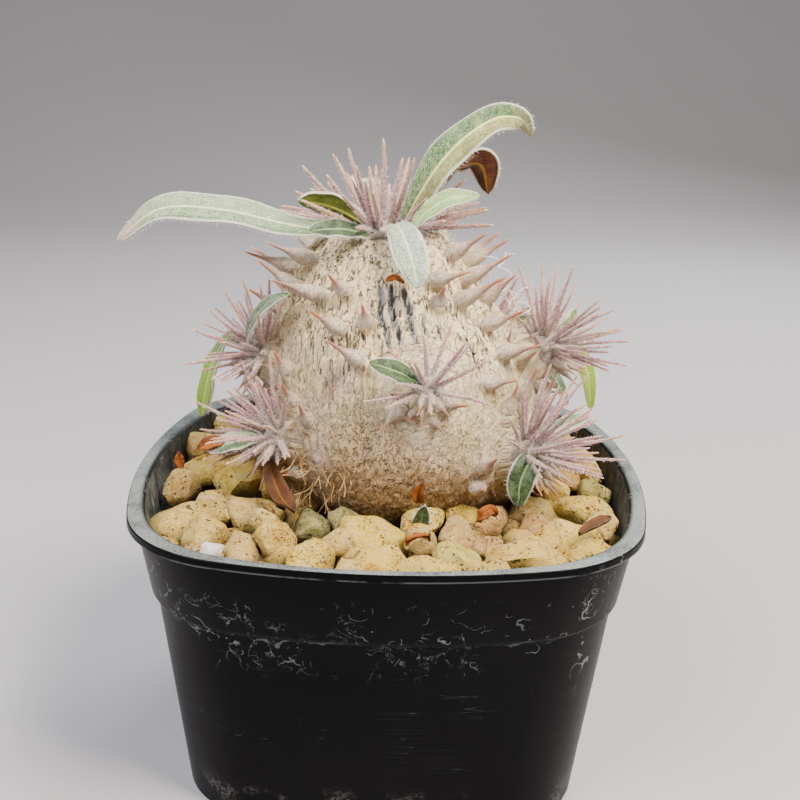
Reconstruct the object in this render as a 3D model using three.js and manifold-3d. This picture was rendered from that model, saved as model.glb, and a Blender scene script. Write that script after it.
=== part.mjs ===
// A thorny caudex plant in a square plastic nursery pot: the pot, its soil, a top dressing of
// pumice, the swollen stem with its short branches, a head of spines on each growing tip, and
// the leaves. Everything rests or stands in the pot, with nothing hinged.
import * as THREE from 'three';
import { mergeVertices } from 'three/addons/utils/BufferGeometryUtils.js';
import Module from 'manifold-3d';

const wasm = await Module();
wasm.setup();

// Driving dimensions in millimetres. The origin is under the middle of the pot, +Z is up,
// and the side of the plant that faces a viewer is -Y.
const potHeight = 53;
const rimHalfWidth = 46;
const baseHalfWidth = 35.8;
const rimCornerRadius = 22;
const baseCornerRadius = 15;
const rimSideInset = 2.6;
const baseSideInset = 0.8;
const lipDepth = 1.4;
const lipOverhang = 1.2;
const collarHeight = 13.8;
const collarHalfWidth = 42.4;
const collarStep = 0.8;
const wallThickness = 1.3;
const floorThickness = 2.2;
const edgeRounding = 0.4;
const drainHoleRadius = 3;
const drainRingRadius = 25;
const drainHoleCount = 8;

const soilTop = 40.5;
const clearance = 0.35;
const beddingDepth = 3;
const stoneSink = 0.8;
const stoneTopLevel = 51.6;

const stemLevelAtStones = 47;

const caudexDepth = 6;
const crownSeatHeight = 95.4;
const bladeThickness = 0.75;
const bladeFold = 0.28;
const needleRootRadius = 0.62;
const needleTipRadius = 0.16;
const thornFootDepth = 1.2;
const thornFlatness = 0.85;
const branchSeatDepth = 1.1;
const headCoreShare = 0.68;
const needleFootShare = 0.5;
const goldenAngle = Math.PI * (3 - Math.sqrt(5));

// How close two corners of a mesh lie to be one corner, and how far a cut piece is drawn together
const sameCorner = 1e-4;
const weldDistance = 0.01;

// Colours
const colours = {
  pot: 0x202122,
  soil: 0x3d3128,
  pumice: 0xd9c48c,
  bark: 0xb7a791,
  spine: 0xb28f8f,
  greenLeaf: 0x6f8f63,
  silverLeaf: 0xa3ae9b,
  oliveLeaf: 0x6a7032,
  yellowLeaf: 0x9aab4a,
  rustLeaf: 0x7c4630,
  dryLeaf: 0xa8683c,
};

// A seeded random draw between 0 and 1, the same on every run
function randomFrom(seed) {
  let state = seed;
  return () => {
    state = (state * 16807) % 2147483647;
    return state / 2147483647;
  };
}

// A direction from its compass angle, 0 facing the viewer and 90 to the right, and its rise
function heading(compass, rise) {
  const turn = THREE.MathUtils.degToRad(compass);
  const lift = THREE.MathUtils.degToRad(rise);
  const flat = Math.cos(lift);
  return new THREE.Vector3(Math.sin(turn) * flat, -Math.cos(turn) * flat, Math.sin(lift));
}

// Two directions square to a given one, right-handed with it
function frameAcross(direction) {
  const steep = Math.abs(direction.z) >= 0.9;
  const helper = steep ? new THREE.Vector3(1, 0, 0) : new THREE.Vector3(0, 0, 1);
  const across = new THREE.Vector3().crossVectors(helper, direction).normalize();
  const upward = new THREE.Vector3().crossVectors(direction, across).normalize();
  return [across, upward];
}

// A closed solid from a stack of rings of points, each ring anticlockwise about the way it goes
function loft(rings) {
  const count = rings[0].length;
  const points = rings.flat();
  const faces = [];
  for (let level = 0; level < rings.length - 1; level += 1) {
    for (let step = 0; step < count; step += 1) {
      const next = (step + 1) % count;
      const low = level * count;
      const high = low + count;
      faces.push(low + step, low + next, high + next);
      faces.push(low + step, high + next, high + step);
    }
  }
  const addCap = (ring, offset, facesBack) => {
    const middle = new THREE.Vector3();
    ring.forEach((point) => middle.addScaledVector(point, 1 / count));
    const hub = points.push(middle) - 1;
    for (let step = 0; step < count; step += 1) {
      const next = (step + 1) % count;
      if (facesBack) faces.push(hub, offset + next, offset + step);
      else faces.push(hub, offset + step, offset + next);
    }
  };
  addCap(rings[0], 0, true);
  addCap(rings.at(-1), (rings.length - 1) * count, false);
  const geometry = new THREE.BufferGeometry().setFromPoints(points);
  geometry.setIndex(faces);
  return geometry;
}

// A closed mesh as a solid that can be joined and cut
function solidOf(geometry) {
  const bare = geometry.clone();
  bare.deleteAttribute('normal');
  bare.deleteAttribute('uv');
  const merged = mergeVertices(bare, sameCorner);
  const vertProperties = new Float32Array(merged.attributes.position.array);
  const triVerts = new Uint32Array(merged.index.array);
  return new wasm.Manifold(new wasm.Mesh({ numProp: 3, vertProperties, triVerts }));
}

function join(solids) {
  return solids.reduce((whole, piece) => whole.add(piece));
}

// The biggest connected body of a solid: loose scraps go, and a sealed hollow is filled
function mainBody(solid) {
  return solid.decompose().reduce((best, piece) => (piece.volume() > best.volume() ? piece : best));
}

function geometryOf(solid) {
  const mesh = solid.getMesh();
  const corners = new THREE.BufferAttribute(new Float32Array(mesh.vertProperties), 3);
  const geometry = new THREE.BufferGeometry();
  geometry.setAttribute('position', corners);
  geometry.setIndex(new THREE.BufferAttribute(new Uint32Array(mesh.triVerts), 1));
  return geometry;
}

// A cut piece with its closest corners drawn together, coarsely and then finely, and what that
// parts from the main body dropped
function cleaned(solid) {
  return [weldDistance, weldDistance / 10].reduce((rest, distance) => {
    const welded = mergeVertices(geometryOf(rest), distance);
    return mainBody(solidOf(welded));
  }, mainBody(solid));
}

const plant = new THREE.Group();

function addNode(name, geometry, colour, roughness) {
  const shaded = geometry.index ? geometry.toNonIndexed() : geometry;
  shaded.computeVertexNormals();
  const material = new THREE.MeshStandardMaterial({ color: colour, roughness, metalness: 0 });
  const mesh = new THREE.Mesh(shaded, material);
  mesh.name = name;
  plant.add(mesh);
}

// Pot outline: four slightly bowed sides that run into round corners. The side is an arc that
// meets the corner arc tangentially, and the inset is how much further the bow stands out.
function potOutline(halfWidth, cornerRadius, inset, height) {
  const cornerMiddle = halfWidth - cornerRadius - inset;
  const reach = halfWidth - cornerMiddle;
  const bowRadius = (reach ** 2 + cornerMiddle ** 2 - cornerRadius ** 2) / (2 * inset);
  const meeting = Math.asin(cornerMiddle / (bowRadius - cornerRadius));
  const sideSteps = 2;
  const cornerSteps = 4;
  const eighth = [];
  for (let step = 0; step < sideSteps; step += 1) {
    const angle = (meeting * step) / sideSteps;
    eighth.push([halfWidth - bowRadius + bowRadius * Math.cos(angle), bowRadius * Math.sin(angle)]);
  }
  const quarter = [...eighth];
  for (let step = 0; step <= cornerSteps; step += 1) {
    const angle = meeting + ((Math.PI / 2 - 2 * meeting) * step) / cornerSteps;
    quarter.push([
      cornerMiddle + cornerRadius * Math.cos(angle),
      cornerMiddle + cornerRadius * Math.sin(angle),
    ]);
  }
  eighth.slice(1).reverse().forEach(([x, y]) => quarter.push([y, x]));
  const ring = [];
  for (let turn = 0; turn < 4; turn += 1) {
    const cosine = Math.round(Math.cos((turn * Math.PI) / 2));
    const sine = Math.round(Math.sin((turn * Math.PI) / 2));
    quarter.forEach(([x, y]) => {
      ring.push(new THREE.Vector3(x * cosine - y * sine, x * sine + y * cosine, height));
    });
  }
  return ring;
}

// The pot's outline at a height, with a given half width
function potRing(halfWidth, height) {
  const share = height / potHeight;
  const radius = baseCornerRadius + (rimCornerRadius - baseCornerRadius) * share;
  const inset = baseSideInset + (rimSideInset - baseSideInset) * share;
  return potOutline(halfWidth, radius, inset, height);
}

const collarBottom = potHeight - collarHeight;
const wallAtCollar = collarHalfWidth - collarStep;
const wallMiddle = collarBottom / 2;

// Half width of the pot's inner face at a height
function innerHalfWidth(height) {
  if (height >= collarBottom) {
    const share = (height - collarBottom) / collarHeight;
    const outside = collarHalfWidth + (rimHalfWidth - lipOverhang - collarHalfWidth) * share;
    return outside - wallThickness;
  }
  const share = height / collarBottom;
  return baseHalfWidth + (wallAtCollar - baseHalfWidth) * share - wallThickness;
}

function potSolid() {
  const lipBottom = potHeight - lipDepth;
  const rings = [
    potRing(baseHalfWidth - edgeRounding, 0),
    potRing(baseHalfWidth, 2 * edgeRounding),
    potRing(wallAtCollar, collarBottom - collarStep),
    potRing(collarHalfWidth, collarBottom),
    potRing(rimHalfWidth - lipOverhang, lipBottom - edgeRounding),
    potRing(rimHalfWidth, lipBottom),
    potRing(rimHalfWidth, potHeight - edgeRounding),
    potRing(rimHalfWidth - edgeRounding, potHeight),
    potRing(innerHalfWidth(potHeight) + edgeRounding, potHeight),
    potRing(innerHalfWidth(potHeight), potHeight - edgeRounding),
    potRing(innerHalfWidth(collarBottom + collarStep), collarBottom + collarStep),
    potRing(innerHalfWidth(collarBottom - collarStep), collarBottom - collarStep),
    potRing(innerHalfWidth(wallMiddle), wallMiddle),
    potRing(innerHalfWidth(floorThickness), floorThickness),
  ];
  const drillLength = 3 * floorThickness;
  const drillSides = 10;
  const holes = [];
  for (let turn = 0; turn < drainHoleCount; turn += 1) {
    const angle = ((turn + 0.5) * 2 * Math.PI) / drainHoleCount;
    const x = drainRingRadius * Math.cos(angle);
    const y = drainRingRadius * Math.sin(angle);
    const hole = new THREE.CylinderGeometry(drainHoleRadius, drainHoleRadius, drillLength, drillSides);
    hole.rotateX(Math.PI / 2);
    hole.translate(x, y, floorThickness / 2);
    holes.push(solidOf(hole));
  }
  return solidOf(loft(rings)).subtract(join(holes));
}

// Soil and pumice lie inside the pot's inner face with this clearance
function fillRing(height) {
  return potRing(innerHalfWidth(height) - clearance, height);
}

// Caudex: sections of the swollen stem as height, sideways middle, half width and half depth,
// from the tap root up to the flat seat of the crown
const stemSections = [
  [19, 1, 2.5, 2.5],
  [29, 1, 5.5, 5.5],
  [37, 1.5, 10, 10],
  [43, 2, 17, 16],
  [47, 2.5, 23, 19.5],
  [51, 3, 26.3, 22.3],
  [57, 3, 27.8, 24.2],
  [63, 2.8, 27, 24.4],
  [71, 1.5, 25, 23],
  [77, 0.5, 23, 21.3],
  [82, -1, 20.2, 19.3],
  [87, -1.7, 16.8, 17],
  [92, -2, 13.8, 14.5],
  [crownSeatHeight, -2, 10.5, 11.5],
];

function stemAt(height) {
  const above = stemSections.findIndex(([level]) => level >= height);
  const high = stemSections[Math.max(above, 1)];
  const low = stemSections[Math.max(above, 1) - 1];
  const share = (height - low[0]) / (high[0] - low[0]);
  return low.map((value, index) => value + (high[index] - value) * share);
}

// A point on the stem at a compass angle and height, moved outwards by a distance
function stemPoint(compass, height, outwards = 0) {
  const [, middle, halfWidth, halfDepth] = stemAt(height);
  const angle = THREE.MathUtils.degToRad(compass);
  return new THREE.Vector3(
    middle + (halfWidth + outwards) * Math.sin(angle),
    caudexDepth - (halfDepth + outwards) * Math.cos(angle),
    height,
  );
}

function stemSolid(grow) {
  const sides = 24;
  const rings = stemSections.map(([height], index) => {
    const edge = index === 0 ? -grow : 0;
    const lift = index === stemSections.length - 1 ? grow : edge;
    const ring = [];
    for (let step = 0; step < sides; step += 1) {
      const point = stemPoint((360 * step) / sides, height, grow);
      point.z += lift;
      ring.push(point);
    }
    return ring;
  });
  return solidOf(loft(rings));
}

// A round tapering limb between two points, with a domed end
function limbSolid(from, to, rootRadius, endRadius, sides, grow) {
  const direction = new THREE.Vector3().subVectors(to, from);
  const length = direction.length() + grow;
  direction.normalize();
  const profile = [
    [0, 0],
    [rootRadius, 0],
    [endRadius * 1.04, length - endRadius],
    [endRadius * 0.86, length - endRadius * 0.42],
    [endRadius * 0.5, length - endRadius * 0.1],
    [0, length],
  ];
  const points = profile.map(([radius, along], index) => {
    const swell = index > 0 && index < profile.length - 1 ? grow : 0;
    return new THREE.Vector2(radius + swell, along);
  });
  const limb = new THREE.LatheGeometry(points, sides);
  const upright = new THREE.Vector3(0, 1, 0);
  limb.applyQuaternion(new THREE.Quaternion().setFromUnitVectors(upright, direction));
  limb.translate(from.x, from.y, from.z);
  return solidOf(limb);
}

// Growing tips: each head sits on a short branch that leaves the stem from a root point inside
// it. The compass and rise give the way the head faces; the ones at the back follow the rest.
const heads = [
  {
    name: 'spines_left_upper',
    at: [-24.3, -1, 74.3],
    faces: [-80, 22],
    branchFrom: [-12, 3, 67],
    radii: [7.5, 4.6],
    needles: 25,
    spread: 80,
    lengths: [8, 12.5],
    seed: 11,
  },
  {
    name: 'spines_left_lower',
    at: [-20.8, -10, 61.4],
    faces: [-62, 12],
    branchFrom: [-8, -2, 57],
    radii: [10, 5],
    needles: 25,
    spread: 78,
    lengths: [8, 12.5],
    seed: 23,
  },
  {
    name: 'spines_front',
    at: [6.6, -18.2, 73.6],
    faces: [8, 34],
    branchFrom: [4, -6, 65],
    radii: [7, 3.4],
    needles: 17,
    spread: 72,
    lengths: [7, 10],
    seed: 37,
  },
  {
    name: 'spines_right_upper',
    at: [28.6, 1, 76.6],
    faces: [78, 36],
    branchFrom: [13, 4, 65],
    radii: [9.5, 5.2],
    needles: 25,
    spread: 80,
    lengths: [8, 13],
    seed: 41,
  },
  {
    name: 'spines_right_lower',
    at: [25.6, -11, 60],
    faces: [62, 14],
    branchFrom: [12, -2, 56],
    radii: [12.5, 5.6],
    needles: 28,
    spread: 80,
    lengths: [9, 15],
    seed: 53,
  },
  {
    name: 'spines_back_left',
    at: [-15.5, 29.5, 67],
    faces: [-148, 24],
    branchFrom: [-5, 14, 61],
    radii: [9, 4.8],
    needles: 22,
    spread: 78,
    lengths: [8, 12],
    seed: 67,
  },
  {
    name: 'spines_back_right',
    at: [19.5, 26.5, 72],
    faces: [142, 30],
    branchFrom: [8, 12, 65],
    radii: [8.5, 4.8],
    needles: 22,
    spread: 78,
    lengths: [8, 12],
    seed: 79,
  },
];

// Stout thorns on the stem: compass angle and height of the base, compass and rise of the
// thorn, and its length
const stoutThorns = [
  [-34, 86, -61, 19, 11],
  [-20, 87, -41, 30, 6],
  [-20, 81, -54, 27, 7.5],
  [-9, 82, -8, 45, 5],
  [-11, 76, -63, 30, 8.5],
  [-58, 86, -68, 30, 9.5],
  [-56, 91, -58, 20, 10],
  [-74, 89, -80, 12, 10],
  [-96, 87, -98, 24, 9],
  [-70, 82, -76, 26, 7],
  [58, 92, 62, 30, 9],
  [60, 88, 64, 26, 10.5],
  [44, 85, 60, 27, 10.5],
  [30, 89, 66, 12, 8],
  [32, 85, 22, 38, 5],
  [54, 81, 64, 20, 8.5],
  [72, 84, 56, 34, 8],
  [55, 76.5, 52, 14, 8],
  [84, 90, 82, 24, 9],
  [3, 70.5, -48, -38, 6.5],
  [38, 72.5, 60, 8, 6],
  [30, 58, 18, 30, 6],
  [28, 54.5, 14, 8, 5.5],
  [44, 66, 34, 58, 7],
  [56, 67.5, 50, 60, 7.5],
  [68, 65, 62, 58, 7],
  [-52, 72, -44, 42, 5.5],
  [-47, 67, -38, 40, 6],
  [-40, 64, -20, 46, 6.5],
  [-44, 55, -34, 4, 5],
  [112, 89, 110, 28, 9],
  [140, 91, 142, 20, 9],
  [168, 87, 166, 28, 8.5],
  [-166, 91, -164, 22, 9],
  [-138, 87, -140, 26, 8.5],
  [-118, 91, -120, 18, 9],
  [124, 81, 126, 24, 7.5],
  [154, 78, 150, 30, 7],
  [-176, 79, -178, 26, 7],
  [-122, 79, -120, 28, 7],
  [176, 67, 176, 24, 6.5],
  [112, 67, 110, 30, 6.5],
  [-112, 67, -110, 30, 6.5],
];

// A stout thorn: a swollen, slightly flattened base that draws out to a sharp tip
function thornSolid([compass, height, lean, rise, length], grow) {
  const base = stemPoint(compass, height, -thornFootDepth);
  const direction = heading(lean, rise);
  const [across, upward] = frameAcross(direction);
  const sides = 4;
  const profile = [
    [0, 1.35],
    [0.3, 1.55],
    [0.62, 0.72],
    [1, needleTipRadius],
  ];
  const rings = profile.map(([share, radius], index) => {
    const ring = [];
    const along = share * (length + thornFootDepth) + (index === profile.length - 1 ? grow : 0);
    for (let step = 0; step < sides; step += 1) {
      const angle = (2 * Math.PI * step) / sides;
      const point = base.clone().addScaledVector(direction, along);
      point.addScaledVector(across, (radius + grow) * Math.cos(angle));
      point.addScaledVector(upward, (radius * thornFlatness + grow) * Math.sin(angle));
      ring.push(point);
    }
    return ring;
  });
  return solidOf(loft(rings));
}

// The whole caudex, optionally grown outwards to cut what stands against it
function caudexSolid(grow = 0) {
  const branchSides = 10;
  const branches = heads.map(({ at, faces, branchFrom, radii }) => {
    const seat = new THREE.Vector3(...at).addScaledVector(heading(...faces), -branchSeatDepth);
    return limbSolid(new THREE.Vector3(...branchFrom), seat, ...radii, branchSides, grow);
  });
  const thorns = stoutThorns.map((thorn) => thornSolid(thorn, grow));
  return mainBody(join([stemSolid(grow), ...branches, ...thorns]));
}

// One needle from its root, three-sided and drawn out to a slender tip
function needleSolid(root, direction, length, grow) {
  const [across, upward] = frameAcross(direction);
  const ends = [
    [0, needleRootRadius + grow],
    [length + grow, needleTipRadius + grow],
  ];
  const rings = ends.map(([along, radius]) => {
    const ring = [];
    for (let step = 0; step < 3; step += 1) {
      const angle = (2 * Math.PI * step) / 3;
      const point = root.clone().addScaledVector(direction, along);
      point.addScaledVector(across, radius * Math.cos(angle));
      point.addScaledVector(upward, radius * Math.sin(angle));
      ring.push(point);
    }
    return ring;
  });
  return solidOf(loft(rings));
}

// Needle directions spread evenly over a cap about an axis, from the middle to its edge
function capDirections(axis, count, spreadDegrees, random) {
  const [across, upward] = frameAcross(axis);
  const spread = THREE.MathUtils.degToRad(spreadDegrees);
  const directions = [];
  for (let index = 0; index < count; index += 1) {
    const share = (index + 0.5) / count;
    const jitter = (random() - 0.5) * 0.16;
    const tilt = spread * Math.sqrt(share) * (1 + jitter);
    const turn = index * goldenAngle + (random() - 0.5) * 0.5;
    const direction = axis.clone().multiplyScalar(Math.cos(tilt));
    direction.addScaledVector(across, Math.sin(tilt) * Math.cos(turn));
    direction.addScaledVector(upward, Math.sin(tilt) * Math.sin(turn));
    directions.push(direction.normalize());
  }
  return directions;
}

// A head: a small woolly core on the branch end with its needles standing out of it
function headSolid({ at, faces, radii, needles, spread, lengths, seed }, grow = 0) {
  const random = randomFrom(seed);
  const middle = new THREE.Vector3(...at);
  const axis = heading(...faces);
  const coreRadius = radii[1] * headCoreShare + grow;
  const core = new THREE.IcosahedronGeometry(coreRadius, 0);
  core.translate(middle.x, middle.y, middle.z);
  const pieces = [solidOf(core)];
  capDirections(axis, needles, spread, random).forEach((direction) => {
    const length = lengths[0] + (lengths[1] - lengths[0]) * random();
    const root = middle.clone().addScaledVector(direction, radii[1] * needleFootShare);
    pieces.push(needleSolid(root, direction, length, grow));
  });
  return join(pieces);
}

// The crown: a broad low cap on the flat top of the stem, with upright needles in its middle
// and flatter ones round its edge
const crown = {
  name: 'spines_crown',
  radius: 9.2,
  height: 3,
  ringShare: 0.72,
  footLift: 0.75,
  needles: 46,
  spread: 84,
  lengths: [9, 14],
  seed: 97,
};

function crownSolid(grow = 0) {
  const random = randomFrom(crown.seed);
  const foot = crownSeatHeight + clearance - grow;
  const [, middleX] = stemAt(crownSeatHeight);
  const profile = [
    [0, 0],
    [crown.radius + grow, 0],
    [crown.radius * 0.92 + grow, crown.height * 0.45],
    [crown.radius * 0.6, crown.height * 0.85 + grow],
    [0, crown.height + grow],
  ].map(([radius, height]) => new THREE.Vector2(radius, height));
  const capSides = 12;
  const cap = new THREE.LatheGeometry(profile, capSides);
  cap.rotateX(Math.PI / 2);
  cap.translate(middleX, caudexDepth, foot);
  const pieces = [solidOf(cap)];
  const axis = new THREE.Vector3(0, 0, 1);
  const [shortest, longest] = crown.lengths;
  const ringRadius = crown.radius * crown.ringShare;
  capDirections(axis, crown.needles, crown.spread, random).forEach((direction) => {
    const lean = Math.hypot(direction.x, direction.y);
    const length = longest - (longest - shortest) * random() * (1 - 0.3 * lean);
    const rise = (crown.height * (1 - lean * lean)) / 2 + crown.footLift;
    const root = new THREE.Vector3(
      middleX + direction.x * ringRadius,
      caudexDepth + direction.y * ringRadius,
      crownSeatHeight + clearance + rise,
    );
    pieces.push(needleSolid(root, direction, length, grow));
  });
  return join(pieces);
}

// Leaves: the middle line of each blade from base to tip, its greatest width, and the way its
// upper face looks. The blade is folded a little along its midrib.
const leaves = [
  {
    name: 'leaf_crown_left',
    colour: colours.greenLeaf,
    path: [
      [-9.5, 1, 96.4], [-14.6, -0.5, 96.6], [-19.6, -2, 97.6], [-29.3, -5, 100],
      [-39.3, -6, 100], [-47, -6, 94.6],
    ],
    width: 6.3,
    widest: 0.55,
    face: [-0.1, -0.62, 0.78],
  },
  {
    name: 'leaf_crown_tall',
    colour: colours.greenLeaf,
    path: [
      [1.8, 2.6, 97.6], [4.6, 1.4, 103], [8.2, 0.4, 108.6], [12.8, 0, 113.2],
      [17.6, 0, 115.8], [21.4, 0, 115.4], [22.8, 0.4, 112.8],
    ],
    width: 6.9,
    widest: 0.42,
    face: [-0.62, -0.72, 0.3],
  },
  {
    name: 'leaf_crown_curled',
    colour: colours.rustLeaf,
    path: [[5, 5.6, 98], [8.2, 7, 103], [11.6, 9, 106.8], [15.2, 11, 107], [17, 12.6, 101.6]],
    width: 7,
    widest: 0.6,
    face: [-0.5, -0.3, 0.8],
  },
  {
    name: 'leaf_crown_pale',
    colour: colours.greenLeaf,
    path: [[3.4, -3.2, 97.8], [5.8, -3, 100.4], [9.8, -2.6, 102.6], [14.4, -2.2, 103]],
    width: 3.6,
    widest: 0.5,
    face: [-0.2, -0.7, 0.68],
  },
  {
    name: 'leaf_crown_olive',
    colour: colours.oliveLeaf,
    path: [[-5.2, 0.4, 97.6], [-9.4, -0.8, 100], [-13, -1.8, 101.2], [-16.4, -2.8, 101.6]],
    width: 5,
    widest: 0.6,
    face: [0.1, 0.5, 0.86],
  },
  {
    name: 'leaf_crown_dark',
    colour: colours.greenLeaf,
    path: [[-4.4, -4.4, 96.4], [-8, -6.4, 97.4], [-11.2, -8, 97.6], [-14, -9.4, 97.4]],
    width: 4.2,
    widest: 0.55,
    face: [0, -0.6, 0.8],
  },
  {
    name: 'leaf_crown_front',
    colour: colours.silverLeaf,
    path: [[0.2, -3.2, 97.9], [1.4, -8.2, 97.6], [2.9, -12, 94.4], [4.4, -14.2, 89.6]],
    width: 5.6,
    widest: 0.6,
    face: [0.05, -0.75, 0.66],
  },
  {
    name: 'leaf_left_strap',
    colour: colours.silverLeaf,
    path: [[-25.6, -3.2, 75.8], [-24.2, -6.4, 80.8], [-20.6, -7.6, 85.2], [-17.4, -8, 86.6]],
    width: 3.2,
    widest: 0.5,
    face: [-0.75, -0.5, 0.4],
  },
  {
    name: 'leaf_left_bent',
    colour: colours.yellowLeaf,
    path: [
      [-25.6, 0.4, 75.2], [-29.4, 1.8, 76.2], [-32.6, 3, 71.6], [-34.6, 4.4, 65.8],
      [-36, 5.6, 59.6],
    ],
    width: 4.4,
    widest: 0.6,
    face: [-0.8, -0.1, 0.6],
  },
  {
    name: 'leaf_left_lower',
    colour: colours.silverLeaf,
    path: [[-22.6, -10.6, 61.4], [-25, -11.8, 61.4], [-28.6, -13, 60.6], [-31, -13.6, 59.4]],
    width: 3.8,
    widest: 0.5,
    face: [-0.2, -0.6, 0.75],
  },
  {
    name: 'leaf_front_head',
    colour: colours.greenLeaf,
    path: [[4.9, -19.2, 74.6], [2.2, -20.2, 76.4], [-0.6, -20.8, 77.6], [-3.2, -21.2, 78.4]],
    width: 3.9,
    widest: 0.5,
    face: [-0.1, -0.65, 0.75],
  },
  {
    name: 'leaf_right_strap',
    colour: colours.yellowLeaf,
    path: [
      [21.8, 25.4, 73.6], [28, 24.2, 75.2], [34.6, 22.4, 72.4], [39, 21.6, 66.2],
      [40.8, 22, 57.6],
    ],
    width: 4.2,
    widest: 0.6,
    face: [0.7, -0.3, 0.62],
  },
  {
    name: 'leaf_right_hanging',
    colour: colours.greenLeaf,
    path: [[26.2, -12.6, 60.4], [24.2, -15.6, 59.6], [22.8, -17.2, 56.4], [22.8, -17.4, 52.6]],
    width: 4.6,
    widest: 0.55,
    face: [-0.1, -0.86, 0.5],
  },
  {
    name: 'leaf_right_small',
    colour: colours.silverLeaf,
    path: [[27.4, -9.2, 61.2], [30.2, -7.6, 63.4], [33.2, -6.8, 64.8], [35.6, -6.2, 65.2]],
    width: 3.2,
    widest: 0.5,
    face: [-0.2, -0.6, 0.75],
  },
  {
    name: 'leaf_right_bud',
    colour: colours.silverLeaf,
    path: [[30, 0.2, 77.6], [31.4, -0.4, 80.4], [32.4, -0.6, 83.6]],
    width: 2.6,
    widest: 0.5,
    face: [0.3, -0.9, 0.2],
  },
  {
    name: 'leaf_back_right_low',
    colour: colours.greenLeaf,
    path: [[21.6, 24.4, 71.4], [27.6, 20.2, 69.2], [32.4, 17, 65], [34.8, 15, 60.6]],
    width: 4.4,
    widest: 0.55,
    face: [0.5, -0.5, 0.7],
  },
  {
    name: 'leaf_back_left_long',
    colour: colours.greenLeaf,
    path: [[-16.6, 31.2, 68], [-20, 35, 71.6], [-25, 38, 71.2], [-29.4, 40, 66.4], [-31, 40.6, 61]],
    width: 5.2,
    widest: 0.55,
    face: [-0.4, 0.5, 0.76],
  },
  {
    name: 'leaf_crown_back',
    colour: colours.silverLeaf,
    path: [[-3.4, 11.2, 97.6], [-5, 16.4, 101.6], [-7, 22.2, 102.4], [-8.6, 27, 99.2]],
    width: 5.4,
    widest: 0.55,
    face: [-0.1, 0.5, 0.86],
  },
  {
    name: 'leaf_young_in_stones',
    colour: colours.greenLeaf,
    path: [[5.5, -16.8, 44.4], [5.9, -17.9, 48.2], [6.5, -19.4, 52.2]],
    width: 2.8,
    widest: 0.5,
    face: [0, -0.9, 0.3],
  },
  {
    name: 'dry_leaf_front',
    colour: colours.dryLeaf,
    path: [[-20.6, -13.4, 58], [-19.4, -16.6, 55.6], [-17.8, -19.2, 53.2], [-15.4, -22.4, 52.4]],
    width: 4.4,
    widest: 0.6,
    face: [-0.3, -0.6, 0.74],
  },
  {
    name: 'dry_leaf_right',
    colour: colours.dryLeaf,
    path: [[31.6, -29, 52.9], [34.4, -26.8, 53.6], [37.4, -24.4, 53.9]],
    width: 2.2,
    widest: 0.6,
    face: [-0.2, -0.5, 0.84],
  },
];

// One blade: five-cornered stations along its line, thick enough to hold at its edges
function leafSolid({ path, width, widest, face }, grow = 0) {
  const points = path.map((point) => new THREE.Vector3(...point));
  const line = new THREE.CatmullRomCurve3(points, false, 'centripetal');
  const look = new THREE.Vector3(...face).normalize();
  const stations = 6;
  const rings = [];
  for (let step = 0; step <= stations; step += 1) {
    const share = step / stations;
    const middle = line.getPointAt(share);
    const along = line.getTangentAt(share);
    const across = new THREE.Vector3().crossVectors(along, look).normalize();
    const out = new THREE.Vector3().crossVectors(across, along).normalize();
    const rising = share < widest ? share / widest : (1 - share) / (1 - widest);
    const fullness = Math.sin((Math.PI / 2) * rising) ** 0.7;
    const taper = share < widest ? 0.34 + 0.66 * fullness : 0.16 + 0.84 * fullness;
    const half = (width / 2) * taper + grow;
    const fold = half * bladeFold;
    const skin = bladeThickness / 2 + grow;
    if (step === 0) middle.addScaledVector(along, -grow);
    if (step === stations) middle.addScaledVector(along, grow);
    const corner = (side, rise) => {
      const point = middle.clone().addScaledVector(across, side);
      return point.addScaledVector(out, rise);
    };
    rings.push([
      corner(0, skin),
      corner(half, fold + skin),
      corner(half, fold - skin),
      corner(0, -skin),
      corner(-half, fold - skin),
      corner(-half, fold + skin),
    ]);
  }
  return solidOf(loft(rings));
}

// Pumice stones that show from the front, placed one by one: across, depth and width
const placedStones = [
  [-36, -19, 11], [-30, -14, 8.5], [-38, -5, 7], [-35, 5, 9.5], [-28, 0, 11],
  [-23.5, -14.5, 10], [-30, -26.5, 7.5], [-23.5, -29, 9], [-18, -26, 7],
  [-36, 31, 8.5], [-38, 17, 7], [-30, 19, 9], [-27, 34, 8],
  [-12.5, -18.5, 7], [-6.5, -19, 6.5], [-2, -22.5, 12], [-12, -33, 10.5],
  [-8, -26.5, 5.5], [-0.5, -33.5, 9.5], [6, -26.5, 5.5], [6.5, -37.2, 9.5],
  [12, -32, 9], [12.5, -21.5, 10.5], [17, -28.5, 5], [22.5, -30.5, 14.5],
  [31.5, -23, 12], [35.5, -9.5, 10], [38.6, -0.5, 6.5], [37.4, -17.5, 6.5],
  [38.5, 16, 6.5], [38.6, 7.5, 5.5], [30.5, -2.5, 6.5], [35, 27, 7],
  [-20, -21, 5.5], [26, -16.5, 6], [18.5, -17.5, 6], [-5.5, -39, 6],
  [17, -37.5, 6.5],
];

// Stones that are drawn: how many tries, the smallest half width and how much more it may be,
// and how close two stones lie as a share of their half widths together
const stoneTries = 2600;
const smallestStone = 3;
const stoneSizeRange = 2.2;
const stoneCloseness = 0.88;
const placedTopRange = 1.6;
const drawnTopRange = 2;

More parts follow.
